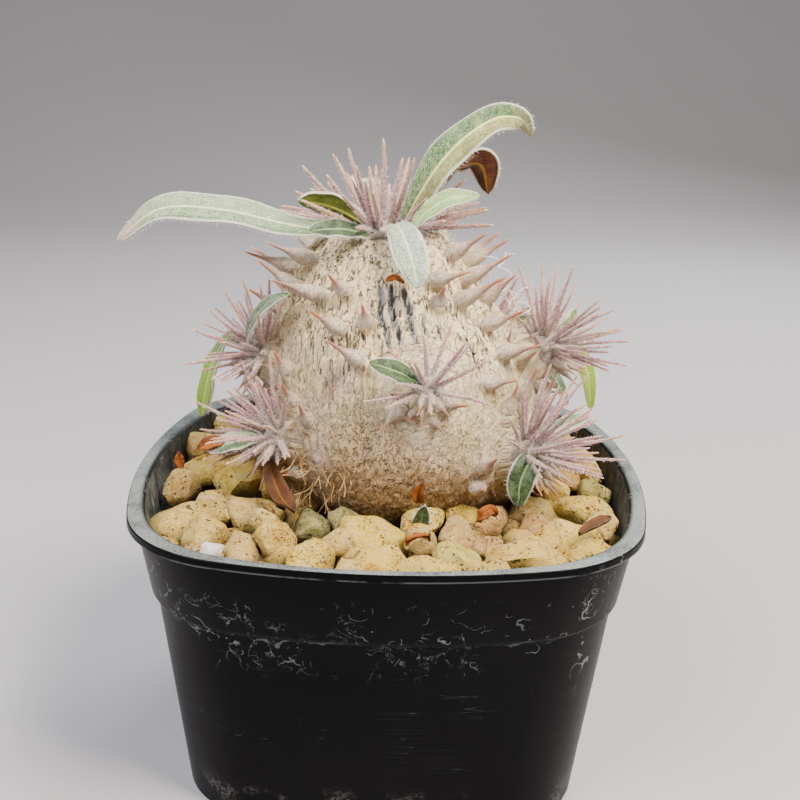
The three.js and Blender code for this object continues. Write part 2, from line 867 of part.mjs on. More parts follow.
// Every stone as middle, half width, half height and turn: first those placed above, then
// more by a seeded draw wherever a stone still fits between the wall and the caudex. Each
// reaches down into the bed of grit.
function stoneLayout() {
  const random = randomFrom(131);
  const bedTop = soilTop + clearance + beddingDepth;
  const stoneAt = (x, y, halfWidth, top) => {
    const halfHeight = (top - bedTop + stoneSink) / 2;
    return { x, y, z: top - halfHeight, halfWidth, halfHeight, turn: random() * Math.PI };
  };
  const stones = placedStones.map(([x, y, width]) => {
    const top = stoneTopLevel + (random() - 0.5) * placedTopRange;
    return stoneAt(x, y, width / 2, top);
  });
  const reach = innerHalfWidth(stoneTopLevel) - clearance;
  const [, middle, stemWidth, stemDepth] = stemAt(stemLevelAtStones);
  for (let attempt = 0; attempt < stoneTries; attempt += 1) {
    const x = (random() * 2 - 1) * reach;
    const y = (random() * 2 - 1) * reach;
    const halfWidth = smallestStone + random() * stoneSizeRange;
    const top = stoneTopLevel + (random() - 0.7) * drawnTopRange;
    const bowed = Math.abs(x) ** 4 + Math.abs(y) ** 4 < (reach - halfWidth * 0.95) ** 4;
    const outside = ((x - middle) / (stemWidth + halfWidth * 0.5)) ** 2
      + ((y - caudexDepth) / (stemDepth + halfWidth * 0.5)) ** 2 > 1;
    const free = stones.every((stone) => {
      const gap = Math.hypot(stone.x - x, stone.y - y);
      return gap > (stone.halfWidth + halfWidth) * stoneCloseness;
    });
    if (bowed && outside && free) stones.push(stoneAt(x, y, halfWidth, top));
  }
  return stones;
}

// One stone: a worn, slightly angular lump, with more faces on a bigger one
function stoneSolid(stone, random, grow) {
  const big = stone.halfWidth > 4.4;
  const lump = big ? new THREE.OctahedronGeometry(1, 1) : new THREE.IcosahedronGeometry(1, 0);
  lump.deleteAttribute('normal');
  lump.deleteAttribute('uv');
  const merged = mergeVertices(lump, sameCorner);
  const { position } = merged.attributes;
  const slimness = 0.8 + random() * 0.15;
  for (let index = 0; index < position.count; index += 1) {
    const bump = 1.06 + (random() - 0.5) * 0.24;
    position.setXYZ(
      index,
      position.getX(index) * (stone.halfWidth * bump + grow),
      position.getY(index) * (stone.halfWidth * slimness * bump + grow),
      position.getZ(index) * (stone.halfHeight * bump + grow),
    );
  }
  merged.rotateZ(stone.turn);
  merged.translate(stone.x, stone.y, stone.z);
  return solidOf(merged);
}

// The top dressing: all the stones on a thin bed of pumice grit, kept inside the pot's wall
function pumiceSolid(grow = 0) {
  const random = randomFrom(171);
  const bedBottom = soilTop + clearance;
  const bedTop = bedBottom + beddingDepth;
  const bed = solidOf(loft([fillRing(bedBottom), fillRing(bedTop)]));
  const insideLevels = [bedBottom, collarBottom + 2 * collarStep, potHeight + collarStep];
  const inside = solidOf(loft(insideLevels.map(fillRing)));
  const stones = stoneLayout().map((stone) => stoneSolid(stone, random, grow));
  return join([bed, ...stones]).intersect(inside);
}

const caudex = caudexSolid();
const caudexCutter = caudexSolid(clearance);
const pumice = mainBody(pumiceSolid().subtract(caudexCutter));
const pumiceCutter = pumiceSolid(clearance);
const soilLevels = [floorThickness + clearance, wallMiddle, collarBottom - collarStep, soilTop];
const soilRings = soilLevels.map(fillRing);
const soil = mainBody(solidOf(loft(soilRings)).subtract(caudexCutter));

addNode('pot', geometryOf(potSolid()), colours.pot, 0.42);
addNode('soil', geometryOf(cleaned(soil)), colours.soil, 0.95);
addNode('pumice_top_dressing', geometryOf(cleaned(pumice)), colours.pumice, 0.95);
addNode('caudex', geometryOf(cleaned(caudex)), colours.bark, 0.85);

const leafCutters = leaves.map((leaf) => leafSolid(leaf, clearance));

// Needles stop short of leaves, stones, the caudex and the heads made before them
const headShapes = [[crown.name, crownSolid(), crownSolid(clearance)]];
heads.forEach((head) => headShapes.push([head.name, headSolid(head), headSolid(head, clearance)]));
const headCutters = [];
headShapes.forEach(([name, shape, cutter]) => {
  const others = [caudexCutter, pumiceCutter, ...leafCutters, ...headCutters];
  const cut = others.reduce((rest, other) => rest.subtract(other), shape);
  addNode(name, geometryOf(cleaned(cut)), colours.spine, 0.7);
  headCutters.push(cutter);
});

leaves.forEach((leaf) => {
  const blade = leafSolid(leaf).subtract(caudexCutter).subtract(pumiceCutter);
  addNode(leaf.name, geometryOf(cleaned(blade)), leaf.colour, 0.75);
});

export default plant;
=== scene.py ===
import math

import bmesh
import bpy
from mathutils import Matrix, Vector, noise
from mathutils.bvhtree import BVHTree


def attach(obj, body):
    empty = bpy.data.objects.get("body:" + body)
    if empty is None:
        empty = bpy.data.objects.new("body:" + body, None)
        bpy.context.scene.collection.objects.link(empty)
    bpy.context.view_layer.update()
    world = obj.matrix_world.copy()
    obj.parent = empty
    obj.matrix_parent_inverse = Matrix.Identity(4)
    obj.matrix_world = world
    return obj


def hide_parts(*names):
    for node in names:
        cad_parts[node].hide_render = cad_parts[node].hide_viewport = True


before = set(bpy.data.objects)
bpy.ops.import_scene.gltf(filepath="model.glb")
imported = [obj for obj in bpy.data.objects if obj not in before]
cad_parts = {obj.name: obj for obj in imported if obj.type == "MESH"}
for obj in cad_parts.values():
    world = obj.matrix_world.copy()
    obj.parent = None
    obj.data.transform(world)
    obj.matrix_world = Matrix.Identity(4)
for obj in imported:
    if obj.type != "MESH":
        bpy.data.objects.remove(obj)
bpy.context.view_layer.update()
mm = 0.001

# The pot is a square nursery pot of thin black plastic, moulded in one piece with a stepped
# collar, a turned-out lip and drain holes in its floor. Hard water has dried on it in rings and
# runs, dust clings to its foot, and handling has rubbed its lip grey.
pot_height = 53 * mm
rim_half = 46 * mm
base_half = 35.8 * mm
rim_corner = 22 * mm
base_corner = 15 * mm
rim_bow = 2.6 * mm
base_bow = 0.8 * mm
lip_depth = 1.4 * mm
lip_overhang = 1.2 * mm
lip_flat = 1.5 * mm
lip_slope = 0.6 * mm
collar_height = 13.8 * mm
collar_half = 42.4 * mm
collar_step = 0.8 * mm
wall_thickness = 1.3 * mm
floor_thickness = 2.2 * mm
drain_hole_radius = 3 * mm
drain_ring_radius = 25 * mm
drain_hole_count = 8
outline_side_steps = 8
outline_corner_steps = 12
collar_bottom = pot_height - collar_height
crease_angle = math.radians(42)
wall_steps = 5
drill_sides = 28
moulded_edge = 0.35 * mm
moulded_edge_steps = 3
moulded_edge_angle = math.radians(32)


class Value:
    """A socket of a look's nodes. Sums written on it add Math nodes."""

    def __init__(self, look, socket):
        self.look = look
        self.socket = socket

    def maths(self, operation, *others):
        sockets = dict(enumerate([self, *others]))
        return self.look.node("Math", {"operation": operation}, sockets)

    def __add__(self, other):
        return self.maths("ADD", other)

    def __sub__(self, other):
        return self.maths("SUBTRACT", other)

    def __rsub__(self, other):
        return self.maths("MULTIPLY", -1) + other

    def __mul__(self, other):
        return self.maths("MULTIPLY", other)

    def __abs__(self):
        return self.maths("ABSOLUTE")

    def rise(self, low, high):
        """0 below low and 1 above high, smoothly, or the other way round where low is above high."""
        settings = {"interpolation_type": "SMOOTHSTEP"}
        return self.look.node("MapRange", settings, {0: self, 1: low, 2: high})

    def near(self, middle, width):
        """1 at a middle value, falling to 0 a width away from it."""
        return abs(self - middle).rise(width, width * 0.35)

    def over(self, mask, code):
        """This colour, with another laid on it where a mask is 1."""
        return self.look.blend(mask, self, code)


class Look:
    """A finish being made: node() adds any node, its settings first and then its sockets.

    A socket takes a Value, a number, a vector or the screen code of a colour.
    """

    def __init__(self, name, finish):
        self.material = bpy.data.materials.new(name)
        self.material.use_nodes = True
        self.tree = self.material.node_tree
        self.shader = self.tree.nodes["Principled BSDF"]
        for socket, value in finish.items():
            self.shader.inputs[socket].default_value = value

    def node(self, kind, settings=None, sockets=None, output=0):
        added = self.tree.nodes.new("ShaderNode" + kind)
        for name, setting in (settings or {}).items():
            if name == "stops":
                ramp = added.color_ramp.elements
                for index, (position, code) in enumerate(setting):
                    stop = ramp[index] if index < 2 else ramp.new(position)
                    stop.position = position
                    stop.color = tint(code)
            else:
                setattr(added, name, setting)
        for name, value in (sockets or {}).items():
            if isinstance(value, Value):
                self.tree.links.new(value.socket, added.inputs[name])
            else:
                added.inputs[name].default_value = tint(value) if isinstance(value, str) else value
        return Value(self, added.outputs[output])

    def feed(self, socket, value):
        self.tree.links.new(value.socket, self.shader.inputs[socket])

    def place(self, stretch=(1, 1, 1), turn=(0, 0, 0)):
        """A point on the piece, in metres, stretched or turned for a grain that runs one way."""
        point = self.node("TexCoord", output="Object")
        return self.node("Mapping", {}, {"Vector": point, "Scale": stretch, "Rotation": turn})

    def part(self, vector, axis):
        return self.node("SeparateXYZ", {}, {0: vector}, axis)

    def mark(self, name):
        return self.node("Attribute", {"attribute_name": name}, {}, "Fac")

    def grain(self, size, place, detail=3, roughness=0.5):
        sockets = {"Vector": place, "Scale": 1 / size, "Detail": detail, "Roughness": roughness}
        return self.node("TexNoise", {}, sockets)

    def warped(self, place, size, reach):
        """A place moved about by soft noise, so that what is drawn on it wavers."""
        drift = self.node("TexNoise", {}, {"Vector": place, "Scale": 1 / size, "Detail": 2}, "Color")
        centred = self.node("VectorMath", {"operation": "SUBTRACT"}, {0: drift, 1: (0.5, 0.5, 0.5)})
        scaled = self.node("VectorMath", {"operation": "SCALE"}, {0: centred, "Scale": reach})
        return self.node("VectorMath", {"operation": "ADD"}, {0: place, 1: scaled})

    def cells(self, size, place, output="Distance"):
        return self.node("TexVoronoi", {}, {"Vector": place, "Scale": 1 / size}, output)

    def chance(self, size, place):
        """A random value for each cell of the same size."""
        return self.part(self.cells(size, place, "Color"), "X")

    def blend(self, mask, low, high):
        return self.node("Mix", {"data_type": "RGBA"}, {0: mask, 6: low, 7: high}, 2)

    def ramp(self, value, *stops):
        return self.node("ValToRGB", {"stops": stops}, {0: value})

    def bump(self, height, depth):
        self.feed("Normal", self.node("Bump", {}, {"Height": height, "Distance": depth}))


def tint(code):
    """A colour from its six-figure screen code."""
    channels = [int(code[index:index + 2], 16) / 255 for index in (0, 2, 4)]
    linear = [c / 12.92 if c < 0.04045 else ((c + 0.055) / 1.055) ** 2.4 for c in channels]
    return (*linear, 1)


def pot_outline(half, height):
    """The pot's outline at a height: four bowed sides that run into round corners."""
    share = height / pot_height
    corner = base_corner + (rim_corner - base_corner) * share
    bow = base_bow + (rim_bow - base_bow) * share
    middle = half - corner - bow
    bow_radius = ((half - middle) ** 2 + middle ** 2 - corner ** 2) / (2 * bow)
    meeting = math.asin(middle / (bow_radius - corner))
    flank = []
    for step in range(outline_side_steps):
        angle = meeting * step / outline_side_steps
        flank.append((half - bow_radius + bow_radius * math.cos(angle), bow_radius * math.sin(angle)))
    bend = []
    for step in range(outline_corner_steps + 1):
        angle = meeting + (math.pi / 2 - 2 * meeting) * step / outline_corner_steps
        bend.append((middle + corner * math.cos(angle), middle + corner * math.sin(angle)))
    quarter = flank + bend + [(y, x) for x, y in reversed(flank[1:])]
    turns = [Matrix.Rotation(turn * math.pi / 2, 3, "Z") for turn in range(4)]
    return [turn @ Vector((x, y, height)) for turn in turns for x, y in quarter]


def first_ring(bm, points):
    """A ring of edges through some points."""
    ring = bmesh.ops.create_circle(bm, segments=len(points), radius=1)["verts"]
    for vert, point in zip(ring, points):
        vert.co = point
    return ring


def next_ring(bm, ring, points):
    """Draws a wall out of a ring to the next points, and returns the ring at its end."""
    edges = [bm.edges.get(pair) for pair in zip(ring, ring[1:] + ring[:1])]
    drawn = bmesh.ops.extrude_edge_only(bm, edges=edges)["geom"]
    fresh = {item for item in drawn if isinstance(item, bmesh.types.BMVert)}
    ends = []
    for vert, point in zip(ring, points):
        end = next(edge.other_vert(vert) for edge in vert.link_edges if edge.other_vert(vert) in fresh)
        ends.append(end)
        end.co = point
    return ends


def closed_wall(bm, levels):
    """A closed form through a stack of rings of points, with a flat face at each end."""
    ring = first_ring(bm, levels[0])
    bmesh.ops.contextual_create(bm, geom=ring)
    for points in levels[1:]:
        ring = next_ring(bm, ring, points)
    bmesh.ops.contextual_create(bm, geom=ring)
    bmesh.ops.recalc_face_normals(bm, faces=bm.faces)


def as_mesh(name, bm):
    mesh = bpy.data.meshes.new(name)
    bm.to_mesh(mesh)
    bm.free()
    return mesh


def new_object(name, bm):
    made = bpy.data.objects.new(name, as_mesh(name, bm))
    bpy.context.scene.collection.objects.link(made)
    return made


def settle_modifiers(made):
    """Makes what the modifiers give the object's own mesh."""
    settled = bpy.data.meshes.new_from_object(made.evaluated_get(bpy.context.evaluated_depsgraph_get()))
    made.modifiers.clear()
    made.data = settled


def finish_piece(made, looks=()):
    """Gives a piece its finishes and smooth faces, and lets it ride on the root body."""
    for look in looks:
        made.data.materials.append(look.material)
    made.data.shade_smooth()
    made.data.set_sharp_from_angle(angle=crease_angle)
    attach(made, "root")
    return made


def inner_half(height):
    """Half width of the pot's inner face at a height."""
    if height >= collar_bottom:
        share = (height - collar_bottom) / collar_height
        return collar_half + (rim_half - lip_overhang - collar_half) * share - wall_thickness
    share = height / collar_bottom
    return base_half + (collar_half - collar_step - base_half) * share - wall_thickness


def pot_levels():
    """Half widths and heights of the section, up the outside and down the inside to the floor."""
    wall_top = collar_bottom - collar_step
    up = []
    for step in range(wall_steps + 1):
        share = step / wall_steps
        up.append((base_half + (collar_half - collar_step - base_half) * share, wall_top * share))
    lip_bottom = pot_height - lip_depth
    up += [(collar_half, collar_bottom), (rim_half - lip_overhang, lip_bottom), (rim_half, lip_bottom)]
    up += [(rim_half, pot_height), (rim_half - lip_flat, pot_height)]
    down = [pot_height - lip_slope, collar_bottom + collar_step, collar_bottom - collar_step]
    for step in range(1, wall_steps + 1):
        down.append(wall_top + (floor_thickness - wall_top) * step / wall_steps)
    return up + [(inner_half(height), height) for height in down]


pot_shell = bmesh.new()
closed_wall(pot_shell, [pot_outline(half, height) for half, height in pot_levels()])
pot = new_object("nursery_pot", pot_shell)

drills = bmesh.new()
for hole in range(drain_hole_count):
    turn = (hole + 0.5) * 2 * math.pi / drain_hole_count
    at = Vector((math.cos(turn), math.sin(turn), 0)) * drain_ring_radius
    bmesh.ops.create_cone(
        drills, cap_ends=True, segments=drill_sides, radius1=drain_hole_radius, radius2=drain_hole_radius,
        depth=4 * floor_thickness, matrix=Matrix.Translation(at))
drill = new_object("drills", drills)
cutting = pot.modifiers.new("drain_holes", "BOOLEAN")
cutting.operation = "DIFFERENCE"
cutting.object = drill
settle_modifiers(pot)
bpy.data.objects.remove(drill)
softened = pot.modifiers.new("moulded_edges", "BEVEL")
softened.width = moulded_edge
softened.segments = moulded_edge_steps
softened.limit_method = "ANGLE"
softened.angle_limit = moulded_edge_angle

plastic = Look("black_plastic", {"Specular IOR Level": 0.08})
point = plastic.place()
x, z = plastic.part(point, "X"), plastic.part(point, "Z")
upwards = plastic.part(plastic.node("NewGeometry", {}, {}, "Normal"), "Z")
wavering = plastic.warped(point, 4 * mm, 5 * mm)
arcs = plastic.grain(2.6 * mm, point, 3).rise(0.46, 0.56)
drop_size = 7 * mm
drop_edge = plastic.cells(drop_size, wavering).near(0.3, 0.02)
drops = drop_edge * plastic.chance(drop_size, wavering).rise(0.35, 0.4) * arcs
small_drop_size = 3.4 * mm
small_edge = plastic.cells(small_drop_size, wavering).near(0.3, 0.032)
small_drops = small_edge * plastic.chance(small_drop_size, wavering).rise(0.5, 0.54) * arcs
runs = plastic.grain(5 * mm, wavering, 4, 0.55).near(0.5, 0.01)
crackle = plastic.grain(2.2 * mm, wavering, 4, 0.6).near(0.52, 0.014)
patchy = plastic.grain(8 * mm, point, 4).rise(0.5, 0.62)
crusted = plastic.grain(11 * mm, wavering, 3).rise(0.6, 0.68)
splashed = z.near(collar_bottom, 11 * mm) * 0.6 + z.near(collar_bottom - 1 * mm, 3.5 * mm) * 0.8
right_corner = x.rise(27 * mm, 38 * mm) * z.rise(18 * mm, 30 * mm)
left_corner = x.rise(-31 * mm, -39 * mm) * z.rise(30 * mm, 40 * mm)
where_wet = (splashed + right_corner + left_corner * 0.8 + 0.06).rise(0, 1.1)
speck_size = 1.3 * mm
specks = plastic.cells(speck_size, point).rise(0.15, 0.09)
specks = specks * plastic.chance(speck_size, point).rise(0.87, 0.9)
marks = drops + small_drops * 0.9 + runs * patchy + crackle * crusted * 0.8
lime = (marks * where_wet + specks * (where_wet + 0.25) * 0.7).rise(0, 1.1)
# Along the collar step runs a wavering pale line, partly lime and partly a painted highlight.
step_band = plastic.part(wavering, "Z").near(collar_bottom - 0.9 * mm, 0.3 * mm)
step_lime_and_highlight = step_band * plastic.grain(4 * mm, point, 4).rise(0.44, 0.56)
scratch_place = plastic.place((1, 1, 22), (0.05, 0.07, 0))
scratches = plastic.grain(30 * mm, scratch_place, 2).near(0.5, 0.0035)
scratched = scratches * plastic.grain(15 * mm, point).rise(0.54, 0.6) * z.near(22 * mm, 13 * mm)
foot_patches = plastic.grain(9 * mm, point, 3).rise(0.5, 0.6)
foot_grit = plastic.grain(0.9 * mm, point, 5, 0.8).rise(0.44, 0.6)
foot_dust = z.rise(9 * mm, 2 * mm) * foot_patches * foot_grit
haze = plastic.grain(16 * mm, point, 4, 0.6).rise(0.45, 0.75) * 0.2 + right_corner * 0.3
rubbed = upwards.rise(0.9, 0.97) * z.rise(pot_height - 1.6 * mm, pot_height - 0.6 * mm)
lip_grit = plastic.grain(0.45 * mm, point, 4, 0.8).rise(0.3, 0.7)
lip_worn = plastic.grain(7 * mm, point, 4).rise(0.3, 0.6)
# A thin painted highlight runs just under the lip's lower edge.
under_lip_highlight = z.near(pot_height - lip_depth, 0.45 * mm) * plastic.grain(5 * mm, point, 4).rise(0.4, 0.55)
worn = plastic.blend(lip_grit, "2a2e30", "777e7e")
worn = worn.over(lip_worn * 0.35, "949b9a")
bare = plastic.blend(haze, "010102", "0c0d0e")
bare = bare.over(foot_dust * 0.45, "8b8984")
bare = bare.over(scratched * 0.55, "58585a")
# A painted highlight runs under the lip; at the collar step the line is partly lime and partly painted
# highlight.
bare = bare.over(under_lip_highlight * 0.5 + step_lime_and_highlight * 0.5, "6f7577")
bare = bare.over(lime * 0.7, "7d8182")
plastic.feed("Base Color", plastic.blend(rubbed, bare, worn))
dulled = (rubbed + lime + foot_dust + haze * 0.6).rise(0, 1.4)
plastic.feed("Roughness", dulled * 0.4 + plastic.grain(1.2 * mm, point) * 0.1 + 0.3)
relief = plastic.grain(0.7 * mm, point, 3) * 0.3 + lime * 0.6 + rubbed * lip_grit
plastic.bump(relief + scratched * -0.4, 0.05 * mm)

dusty = Look("dusty_inside", {"Specular IOR Level": 0.2, "Roughness": 0.75})
point = dusty.place()
drift = dusty.grain(5 * mm, dusty.warped(point, 6 * mm, 5 * mm), 5, 0.65)
silt = dusty.blend(drift.rise(0.3, 0.7), "1d2021", "4e524f")
tide = dusty.grain(1.1 * mm, dusty.place((1, 1, 0.3)), 4, 0.7).rise(0.5, 0.66)
dusty.feed("Base Color", silt.over(tide * 0.5, "85857d"))
dusty.bump(drift + tide * 0.4, 0.15 * mm)

finish_piece(pot, [plastic, dusty])
for polygon in pot.data.polygons:
    faces_inwards = polygon.normal.xy.dot(polygon.center.xy) < 0
    if faces_inwards and polygon.center.z > floor_thickness and abs(polygon.normal.z) < 0.5:
        polygon.material_index = 1
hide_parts("pot")

# The soil is a dark gritty cactus mix that fills the pot up to the pumice. It shows only through
# the drain holes, so the solid from the frame stays and only gets its finish.
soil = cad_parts["soil"]
earth = Look("gritty_soil", {"Specular IOR Level": 0.2, "Roughness": 0.95})
point = earth.place()
crumb_size = 1.6 * mm
crumbs = earth.cells(crumb_size, earth.warped(point, 2 * mm, 1.5 * mm))
clods = earth.grain(3 * mm, point, 5, 0.7)
mixed = earth.ramp(clods, (0.3, "20170f"), (0.55, "3f3023"), (0.75, "6a5741"))
grit = earth.chance(crumb_size, point).rise(0.86, 0.9)
earth.feed("Base Color", mixed.over(grit, "a08e69"))
earth.bump(clods - crumbs * 0.6, 0.6 * mm)
soil.data.materials.clear()
soil.data.materials.append(earth.material)

# The top dressing is a layer of washed yellow pumice, 4 to 14.5 mm across, poured round the stem.
# Each stone is a worn, slightly angular lump full of fine pores; a few are stained by iron or
# algae, and smaller ones fill the gaps underneath.
soil_top = 40.5 * mm
clearance = 0.35 * mm
bedding_depth = 3 * mm
stone_top_level = 51.6 * mm
stem_middle_at_stones = 2.5 * mm
stem_half_width_at_stones = 23 * mm
stem_half_depth_at_stones = 19.5 * mm
caudex_depth = 6 * mm
wall_roundness = 3
shape_planes = 13
facet_sharpness = 28
layout_tries = 2600
smallest_half = 3
half_range = 2.2
stone_closeness = 0.88
filler_stones = 230
filler_level = 44.6
filler_level_range = 2.2
filler_margin = 3 * mm

# Stones that show from the front, in millimetres: across, depth, width, and a tone from 0 white
# through pink-grey 0.15, tan 0.3, cream 0.5, yellow 0.7 and pale green 0.85 to 1 greenish grey
placed_stones = [
    (-36, -19, 11, 0.52), (-30, -14, 8.5, 0.5), (-38, -5, 7, 0.46), (-35, 5, 9.5, 0.6),
    (-28, 0, 11, 0.64), (-23.5, -14.5, 10, 0.48), (-30, -26.5, 7.5, 0.5), (-23.5, -29, 9, 0.42),
    (-18, -26, 7, 0.58), (-36, 31, 8.5, 0.55), (-38, 17, 7, 0.5), (-30, 19, 9, 0.62),
    (-27, 34, 8, 0.45), (-12.5, -18.5, 7, 0.96), (-6.5, -19, 6.5, 0.93), (-2, -22.5, 12, 0.68),
    (-12, -33, 10.5, 0.66), (-8, -26.5, 5.5, 0.46), (-0.5, -33.5, 9.5, 0.64),
    (6, -26.5, 5.5, 0.42), (6.5, -37.2, 9.5, 0.6), (12, -32, 9, 0.8), (12.5, -21.5, 10.5, 0.34),
    (17, -28.5, 5, 0.28), (22.5, -30.5, 14.5, 0.55), (31.5, -23, 12, 0.6), (35.5, -9.5, 10, 0.72),
    (38.6, -0.5, 6.5, 0.9), (37.4, -17.5, 6.5, 0.5), (38.5, 16, 6.5, 0.55), (38.6, 7.5, 5.5, 0.5),
    (30.5, -2.5, 6.5, 0.62), (35, 27, 7, 0.5), (-20, -21, 5.5, 0.5), (26, -16.5, 6, 0.3),
    (18.5, -17.5, 6, 0.3), (-5.5, -39, 6, 0.55), (17, -37.5, 6.5, 0.5),
]
white_chip = (-27.4, -34.2, 3.6, 0)


def random_from(seed):
    """A seeded random draw between 0 and 1."""
    state = [seed]

    def draw():
        state[0] = state[0] * 16807 % 2147483647
        return state[0] / 2147483647

    return draw


def marked_bmesh():
    """A mesh whose points carry two marks for the finish: how far along they are, and a tone."""
    bm = bmesh.new()
    bm.verts.layers.float.new("along")
    bm.verts.layers.float.new("tone")
    return bm


def stamp(bm, shape, where, tone=0.0):
    """Adds a copy of a small shape, moving each of its points by where()."""
    along = bm.verts.layers.float["along"]
    toned = bm.verts.layers.float["tone"]
    bm.from_mesh(shape)
    bm.verts.ensure_lookup_table()
    for vert in bm.verts[-len(shape.vertices):]:
        vert[along] = vert.co.z
        vert[toned] = tone
        vert.co = where(vert.co)


def ball_shape(name, subdivisions):
    bm = bmesh.new()
    bmesh.ops.create_icosphere(bm, subdivisions=subdivisions, radius=1)
    return as_mesh(name, bm)


def kept_in_pot(point):
    """A point drawn in to the pot's inner face where it would cross it."""
    reach = inner_half(max(point.z, floor_thickness)) - clearance
    across = (abs(point.x) ** wall_roundness + abs(point.y) ** wall_roundness) ** (1 / wall_roundness)
    if across > reach:
        point = Vector((point.x * reach / across, point.y * reach / across, point.z))
    return point


def stone_layout():
    """Middle, half sizes, turn and tone of every stone of the top layer."""
    draw = random_from(131)
    stones = []

    def add(x, y, half, top, tone):
        drop = (top - soil_top - clearance - bedding_depth) / 2
        turn = draw() * math.pi
        height = min(drop, half * 0.92)
        stones.append((Vector((x, y, top - height)), half, height, turn, tone))

    for x, y, width, tone in placed_stones:
        add(x * mm, y * mm, width / 2 * mm, stone_top_level + (draw() - 0.5) * 1.6 * mm, tone)
    reach = inner_half(stone_top_level) - clearance
    for attempt in range(layout_tries):
        x = (draw() * 2 - 1) * reach
        y = (draw() * 2 - 1) * reach
        half = (smallest_half + draw() * half_range) * mm
        top = stone_top_level + (draw() - 0.7) * 2 * mm
        bowed = abs(x) ** 4 + abs(y) ** 4 < (reach - half * 0.95) ** 4
        outside = (((x - stem_middle_at_stones) / (stem_half_width_at_stones + half * 0.5)) ** 2
                   + ((y - caudex_depth) / (stem_half_depth_at_stones + half * 0.5)) ** 2) > 1
        free = all((at - Vector((x, y, at.z))).length > (size + half) * stone_closeness
                   for at, size, *rest in stones)
        if bowed and outside and free:
            add(x, y, half, top, 0.5 + 0.2 * math.sin(attempt))
    x, y, width, tone = white_chip
    add(x * mm, y * mm, width / 2 * mm, stone_top_level + 0.2 * mm, tone)
    return stones


def add_stone(bm, shape, draw, at, half, height, turn, tone):
    """One stone: the round-cornered form that some random planes leave, with a rough skin."""
    planes = []
    for plane in range(shape_planes):
        rise = 2 * (plane + 0.5) / shape_planes - 1
        spin = plane * math.pi * (3 - math.sqrt(5)) + draw() * 0.9
        flat = math.sqrt(1 - rise * rise)
        facing = Vector((flat * math.cos(spin), flat * math.sin(spin), rise))
        planes.append(facing / (0.66 + draw() * 0.4))
    slimness = 0.76 + draw() * 0.24
    tilt = Matrix.Rotation((draw() - 0.5) * 0.5, 3, "X") @ Matrix.Rotation((draw() - 0.5) * 0.5, 3, "Y")
    turned = Matrix.Rotation(turn, 3, "Z") @ tilt
    seed = Vector((draw(), draw(), draw())) * 50

    def where(point):
        facing = point.normalized()
        held = sum(max(0, facing.dot(plane)) ** facet_sharpness for plane in planes)
        reach = held ** (-1 / facet_sharpness)
        reach *= 1.1 + 0.1 * noise.noise(facing * 1.5 + seed) + 0.05 * noise.noise(facing * 4 + seed)
        reach *= 1 + 0.022 * noise.noise(facing * 13 + seed)
        sized = Vector((facing.x * half, facing.y * half * slimness, facing.z * height)) * reach
        return kept_in_pot(at + turned @ sized)

    stamp(bm, shape, where, tone)


fine_ball = ball_shape("fine_ball", 4)
round_ball = ball_shape("round_ball", 3)
small_ball = ball_shape("small_ball", 2)
stones = marked_bmesh()
draw = random_from(171)
for at, half, height, turn, tone in stone_layout():
    shape = fine_ball if half > 5.2 * mm and at.y < 0 else round_ball
    add_stone(stones, shape, draw, at, half, height, turn, tone)
reach = inner_half(stone_top_level) - filler_margin
for filler in range(filler_stones):
    at = Vector(((draw() * 2 - 1) * reach, (draw() * 2 - 1) * reach,
                 (filler_level + draw() * filler_level_range) * mm))
    half = (2 + draw() * 1.6) * mm
    across = (at.x - stem_middle_at_stones) / (stem_half_width_at_stones - filler_margin)
    deep = (at.y - caudex_depth) / (stem_half_depth_at_stones - filler_margin)
    beside_stem = across ** 2 + deep ** 2 > 1
    if beside_stem:
        add_stone(stones, small_ball, draw, at, half, half * 0.8, draw() * math.pi, 0.35 + draw() * 0.3)
bed_levels = [soil_top + clearance, soil_top + clearance + bedding_depth]
bed = bmesh.new()
closed_wall(bed, [pot_outline(inner_half(level) - clearance, level) for level in bed_levels])
bed_tone = 0.4
stamp(stones, as_mesh("bed_of_grit", bed), lambda point: point, bed_tone)
pumice = new_object("pumice_stones", stones)

pumice_look = Look("yellow_pumice", {"Specular IOR Level": 0.2, "Roughness": 0.92})
point = pumice_look.place()
tone = pumice_look.mark("tone")
stone_tints = [
    (0, "f0ede6"), (0.07, "e8e2d4"), (0.15, "bd9c88"), (0.3, "c2945a"), (0.42, "d0ae66"),
    (0.52, "dcba62"), (0.7, "e8c54a"), (0.84, "c9c068"), (1, "8b8759"),
]
rock = pumice_look.ramp(tone, *stone_tints)
mottled = pumice_look.grain(2.4 * mm, point, 6, 0.7)
rock = rock.over(mottled.rise(0.42, 0.68) * 0.7 * tone.rise(0, 0.1), "e6cf92")
rock = rock.over(mottled.rise(0.46, 0.3) * 0.55, "a98449")
bruised = pumice_look.grain(7 * mm, point, 3)
rusty = bruised.rise(0.55, 0.64) * pumice_look.grain(1.6 * mm, point, 4, 0.6).rise(0.38, 0.6)
rock = rock.over(rusty * 0.55 * tone.rise(0.02, 0.12), "bf7a22")
algae = tone.rise(0.84, 0.98) * pumice_look.grain(3 * mm, point, 4).rise(0.42, 0.58)
rock = rock.over(algae * 0.7, "555a33")
pore_place = pumice_look.warped(point, 0.8 * mm, 0.6 * mm)
pore_size = 0.8 * mm
pores = pumice_look.cells(pore_size, pore_place).rise(0.4, 0.2)
pores = pores * pumice_look.chance(pore_size, pore_place).rise(0.34, 0.44)
pored = pumice_look.grain(3.5 * mm, point, 3).rise(0.4, 0.6)
fine_pores = pumice_look.grain(0.42 * mm, point, 4, 0.75).rise(0.45, 0.34) * (pored * 0.8 + 0.3)
big_pore_size = 2.4 * mm
